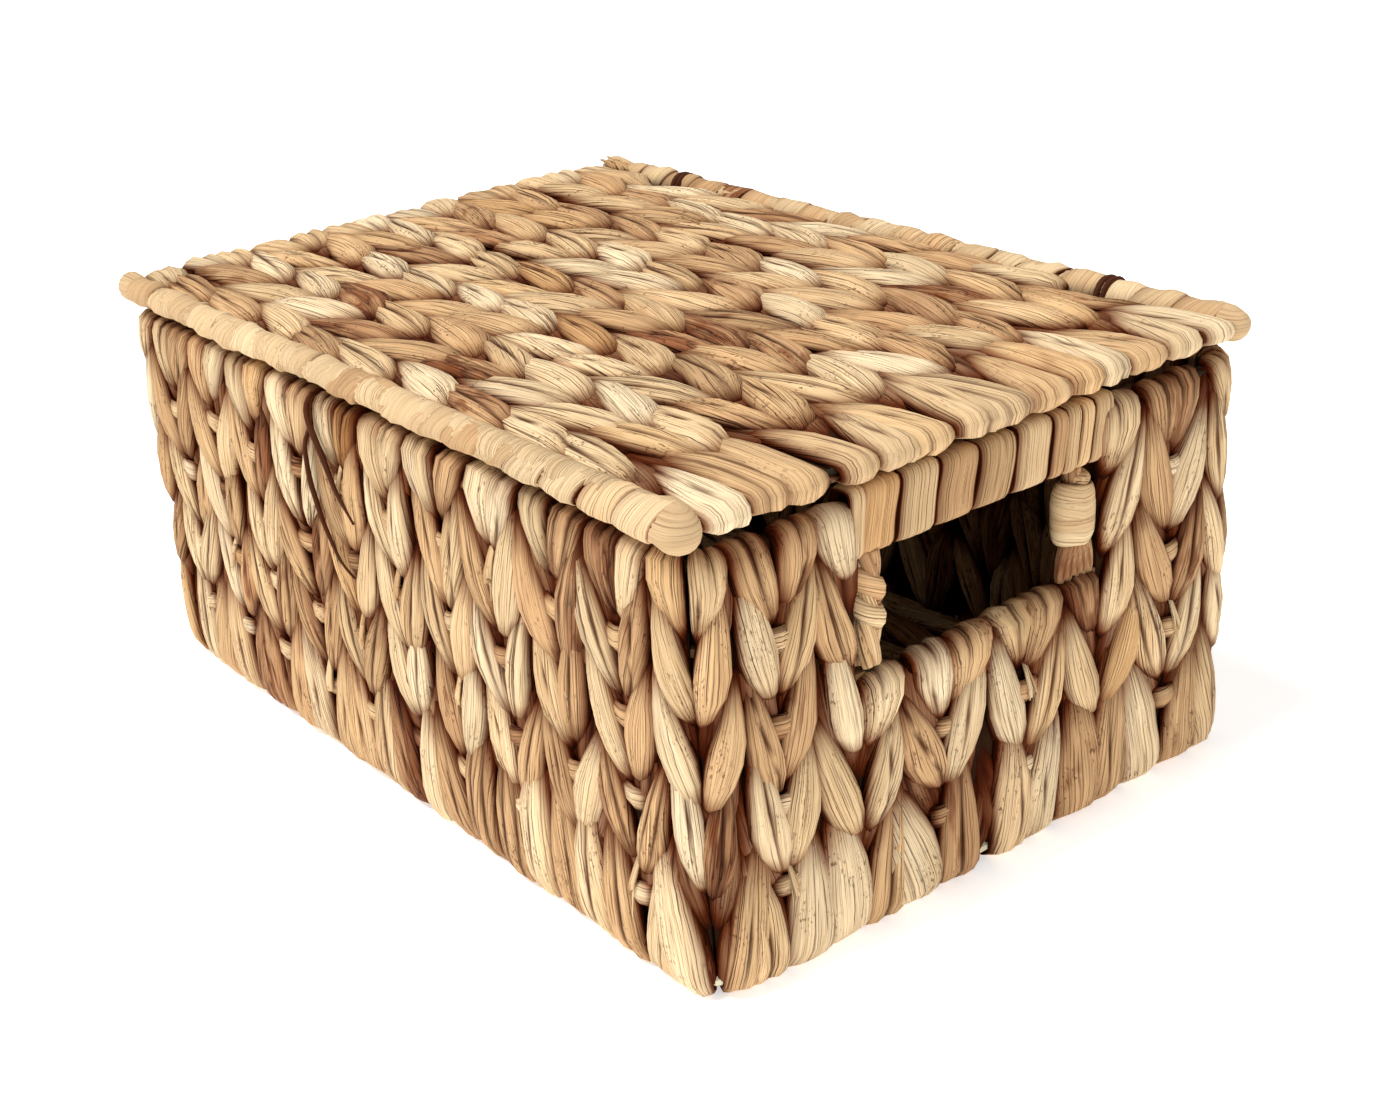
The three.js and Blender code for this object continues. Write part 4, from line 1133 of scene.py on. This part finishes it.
class WOVENBOX_OT_rims(bpy.types.Operator):
    """Winds the lid's two long rims"""

    bl_idname = "woven_box.rims"
    bl_label = "Wind the lid's rims"

    # How far from its end a rim has what share of its radius, in millimetres
    ENDS = ((30, 0.95), (24, 1.03), (16, 1.06), (9, 1.07), (6.5, 1.04), (4.5, 0.96), (2.8, 0.83), (1.5, 0.65),
            (0.6, 0.42), (0.1, 0.15))

    def execute(self, context):
        pale, leaf = pale_leaf(), hyacinth_leaf()
        self.rim("lid_rim_front", ((15, pale, 0.06), (4, edge_leaf(), 0.4)), 0.34, 800)
        self.rim("lid_rim_back", ((3, pale, 0.4), (2, leaf, 0.4), (4, pale, 0.4), (3, leaf, 0.16), (7, pale, 0.4)),
                 0.1, 840)
        return {"FINISHED"}

    def rim(self, node, stretches, swelling, seed):
        """Stretches give a count of wraps, their leaf and the depth of the painted shade in their seams, from the
        left end.
        """
        middle, half = centred(node)
        radius = half.z + 0.4 * MM
        reach = half.x - 14 * MM
        pitch = 2 * reach / sum(count for count, _, _ in stretches)
        start = -reach + pitch / 2
        runs = []
        for count, leaf, seam in stretches:
            strips = strip_set(f"rim_strips_{seam}", (radius, radius, 2), pitch + 3 * MM, 0.5 * MM, 5 * MM, 20, 6,
                               seam)
            number = len(runs)
            runs.append(wound(f"{node}_{number}", strips, count, pitch, start, leaf, seed + number, 0.9 * MM))
            start += count * pitch
        runs.append(strand_mesh(f"{node}_core", [(0, -reach, 0), (0, reach, 0)], 0.86 * radius, sides=14,
                                material=stretches[-1][1], fibres="round"))
        for side in (-1, 1):
            marks = [(0, side * (half.x - away * MM), 0) for away, _ in self.ENDS]
            radii = [share * radius for _, share in self.ENDS]
            runs.append(strand_mesh(f"{node}_end", marks, radii, 1.0, 16, (0.6, 0.5, 0.5), pale_leaf(), "over"))

        def place(points):
            lumps = np.array([noise.noise((mark / (17 * MM), seed, 0)) for mark in points[:, 1]])
            angle = np.arctan2(points[:, 2], points[:, 0])
            twist = 0.1 * np.sin(angle + 2 * math.pi * points[:, 1] / (23 * MM) + 3 * lumps)
            swell = 1.02 + 0.13 * lumps + twist
            swell += swelling * np.clip((points[:, 1] - reach + 80 * MM) / (80 * MM), 0, 1) ** 2
            return np.stack([points[:, 1], -points[:, 0] * swell, points[:, 2] * swell], 1) + np.array(middle)

        name = f"{node}_wound"
        show(placed_mesh(joined_mesh(name, runs), place, seed, 1.2 * MM), name, "lid", node, slot="pale_leaf")


class WOVENBOX_OT_strands(bpy.types.Operator):
    """Lays the tie loops of the lid and the loose strands"""

    bl_idname = "woven_box.strands"
    bl_label = "Tie the lid and lay loose strands"

    # The two lengths of the loose strand: places from its root in millimetres, and the radius
    LOOSE = (
        ([(4, 3, -4), (5, -1.2, -9), (2, -1.6, -17), (-6, -1.4, -30), (-14, -1.6, -44), (-22, 0.5, -56)], 2.2),
        ([(9, 3, -20), (10, -1.3, -26), (9, -1.6, -44), (2, -1.5, -62), (-8, -1.0, -78), (-14, 1.5, -84)], 1.9))

    def execute(self, context):
        for node in ("tie_loop_right", "tie_loop_left"):
            self.tie(node)
        self.hairpin()
        self.tuft()
        return {"FINISHED"}

    def tie(self, node):
        """A dark cord that goes not quite twice round both rims, with a tail."""
        middle, half = centred(node)
        radius, turns, steps = 1.7 * MM, 1.9, 60

        def square(value):
            return math.copysign(abs(value) ** 0.8, value)

        path = []
        for share in np.linspace(0, 1, steps + 1).tolist():
            angle = math.pi + 0.5 + share * 2 * math.pi * turns
            y = 0.9 * MM + (half.y + 0.6 * MM) * square(math.sin(angle))
            z = (half.z + 0.4 * MM) * square(math.cos(angle))
            path.append(middle + Vector((3.6 * MM * (share * 2 - 1), y, z)))
        tail = path[-1] + Vector((3, 5, -7)) * MM
        path += [path[-1].lerp(tail, share) for share in (0.4, 0.8, 1.0)]
        radii = [radius * 0.5] + [radius] * (len(path) - 3) + [radius * 0.8, radius * 0.3]
        mesh = strand_mesh(f"{node}_cord", path, radii, material=brown_leaf())
        show(mesh, f"{node}_cord", "box", node, slot="brown_leaf")

    def hairpin(self):
        """A dark strand that comes out at the top of the front wall and lies over its stitches."""
        root = Vector((-30 * MM, -HALF_WIDTH, WALL_TOP))
        runs = []
        for marks, width in self.LOOSE:
            path = smooth_path([root + Vector((-x, y, z)) * MM for x, y, z in marks], 22)
            radii = [width * MM * (0.5 + 0.5 * math.sin(math.pi * min(1, 0.12 + step / 21))) for step in range(22)]
            runs.append(strand_mesh("front_loose_strand", path, radii, 0.62, 8, (0.6, 0.5, 0.5), brown_leaf()))
        show(joined_mesh("front_loose_strand", runs), "front_loose_strand", "box", slot="brown_leaf")

    def tuft(self):
        """The frayed ends of the last row, at the lid's far corner."""
        draw = np.random.default_rng(settings().seed)
        runs = []
        root = Vector((-HALF_LENGTH + 18 * MM, HALF_WIDTH - 8 * MM, LID_HIGH.z - 3 * MM))
        radii = np.array((1.7, 2.0, 1.9, 1.6, 1.1, 0.4)) * MM
        for _ in range(18):
            away = Vector((draw.uniform(-15, -4), draw.uniform(-1, 4), draw.uniform(1, 3.5))) * MM
            start = root + Vector((draw.uniform(-2, 12), draw.uniform(-6, 1), 0)) * MM
            path = smooth_path([start, start + away * 0.5 + Vector((0, 0, 2 * MM)), start + away], 6)
            runs.append(strand_mesh("lid_frayed_ends", path, radii, 0.5, 6, (draw.uniform(0.6, 0.95), 0.5, 0.2)))
        show(joined_mesh("lid_frayed_ends", runs), "lid_frayed_ends", "lid")


class WOVENBOX_OT_wires(bpy.types.Operator):
    """Lacquers the wires and strands of the frame"""

    bl_idname = "woven_box.wires"
    bl_label = "Finish the wires"

    def execute(self, context):
        for name, node in frame["nodes"].items():
            if node.hide_render:
                continue
            if name.startswith("warp"):
                finish = lacquered_wire("warp_cord", "8a6a45")
            elif name == "bottom_ring_wire":
                finish = lacquered_wire("cream_wire", "ddd6b4")
            else:
                finish = lacquered_wire("dark_green_wire", "2f2a1b")
            node.data.materials.clear()
            node.data.materials.append(finish)
        return {"FINISHED"}


class WOVENBOX_OT_stage(bpy.types.Operator):
    """Sets the floor, the light and the camera"""

    bl_idname = "woven_box.stage"
    bl_label = "Set the studio"

    def execute(self, context):
        scene = context.scene
        corners = [(x * FLOOR_HALF, y * FLOOR_HALF, 0) for x, y in ((-1, -1), (1, -1), (1, 1), (-1, 1))]
        floor = bpy.data.objects.new("floor", blank_mesh("floor", corners, [(0, 1, 2, 3)], smooth=False))
        scene.collection.objects.link(floor)
        material, tree, shader = new_material("white_paper")
        grain = add(tree, "ShaderNodeTexNoise", {"Scale": 300.0}).outputs[0]
        paper = ramped(tree, grain, [(0.0, colour("f4f3f1")), (1.0, colour("fbfbfa"))])
        tree.links.new(paper, shader.inputs["Base Color"])
        shader.inputs["Roughness"].default_value = 0.9
        shader.inputs["Emission Color"].default_value = colour("ffffff")
        shader.inputs["Emission Strength"].default_value = FLOOR_GLOW
        floor.data.materials.append(material)
        world = bpy.data.worlds.new("studio")
        world.use_nodes = True
        world.node_tree.nodes["Background"].inputs[0].default_value = colour("ffffff")
        world.node_tree.nodes["Background"].inputs[1].default_value = SKY
        scene.world = world
        for name, kind, place, power in LIGHTS:
            light = bpy.data.lights.new(name, kind)
            light.energy = power
            if kind == "SUN":
                light.angle = math.radians(KEY_SPREAD)
            else:
                light.size = FILL_SIZE
            lamp = bpy.data.objects.new(name, light)
            lamp.location = place
            lamp.rotation_euler = (Vector((0, 0, 0.1)) - Vector(place)).to_track_quat("-Z", "Y").to_euler()
            scene.collection.objects.link(lamp)
        camera = bpy.data.objects.new("camera", bpy.data.cameras.new("camera"))
        camera.data.lens = CAMERA_LENS
        camera.data.sensor_width = 36
        back = -Vector(CAMERA_LOOK).normalized()
        right = Vector((0, 0, 1)).cross(back).normalized()
        up = back.cross(right)
        roll = math.radians(CAMERA_ROLL)
        turned_right = math.cos(roll) * right + math.sin(roll) * up
        turned_up = -math.sin(roll) * right + math.cos(roll) * up
        axes = Matrix((turned_right, turned_up, back)).transposed().to_4x4()
        camera.matrix_world = Matrix.Translation(CAMERA_PLACE) @ axes
        scene.collection.objects.link(camera)
        scene.camera = camera
        scene.view_settings.view_transform = "Standard"
        return {"FINISHED"}


class WOVENBOX_PT_panel(bpy.types.Panel):
    """Lists the steps in the sidebar"""

    bl_label = "Woven box"
    bl_idname = "WOVENBOX_PT_panel"
    bl_space_type = "VIEW_3D"
    bl_region_type = "UI"
    bl_category = "Woven box"

    def draw(self, context):
        for step in STEPS:
            self.layout.operator(step.bl_idname)
        for name in WovenBoxSettings.__annotations__:
            self.layout.prop(context.scene.woven_box, name)


STEPS = (WOVENBOX_OT_stage, WOVENBOX_OT_walls, WOVENBOX_OT_ends, WOVENBOX_OT_panels, WOVENBOX_OT_grips,
         WOVENBOX_OT_rims, WOVENBOX_OT_strands, WOVENBOX_OT_wires)
CLASSES = (WovenBoxSettings, *STEPS, WOVENBOX_PT_panel)


def register():
    for cls in CLASSES:
        bpy.utils.register_class(cls)
    bpy.types.Scene.woven_box = bpy.props.PointerProperty(type=WovenBoxSettings)


def unregister():
    del bpy.types.Scene.woven_box
    for cls in reversed(CLASSES):
        bpy.utils.unregister_class(cls)


def main():
    register()
    bpy.ops.woven_box.stage()
    bpy.ops.woven_box.walls()
    bpy.ops.woven_box.ends()
    bpy.ops.woven_box.panels()
    bpy.ops.woven_box.grips()
    bpy.ops.woven_box.rims()
    bpy.ops.woven_box.strands()
    bpy.ops.woven_box.wires()
    for shapes in list(bpy.data.collections):
        if shapes.get("stock"):
            for shape in list(shapes.objects):
                bpy.data.objects.remove(shape)
            bpy.data.collections.remove(shapes)


if __name__ == "__main__":
    main()
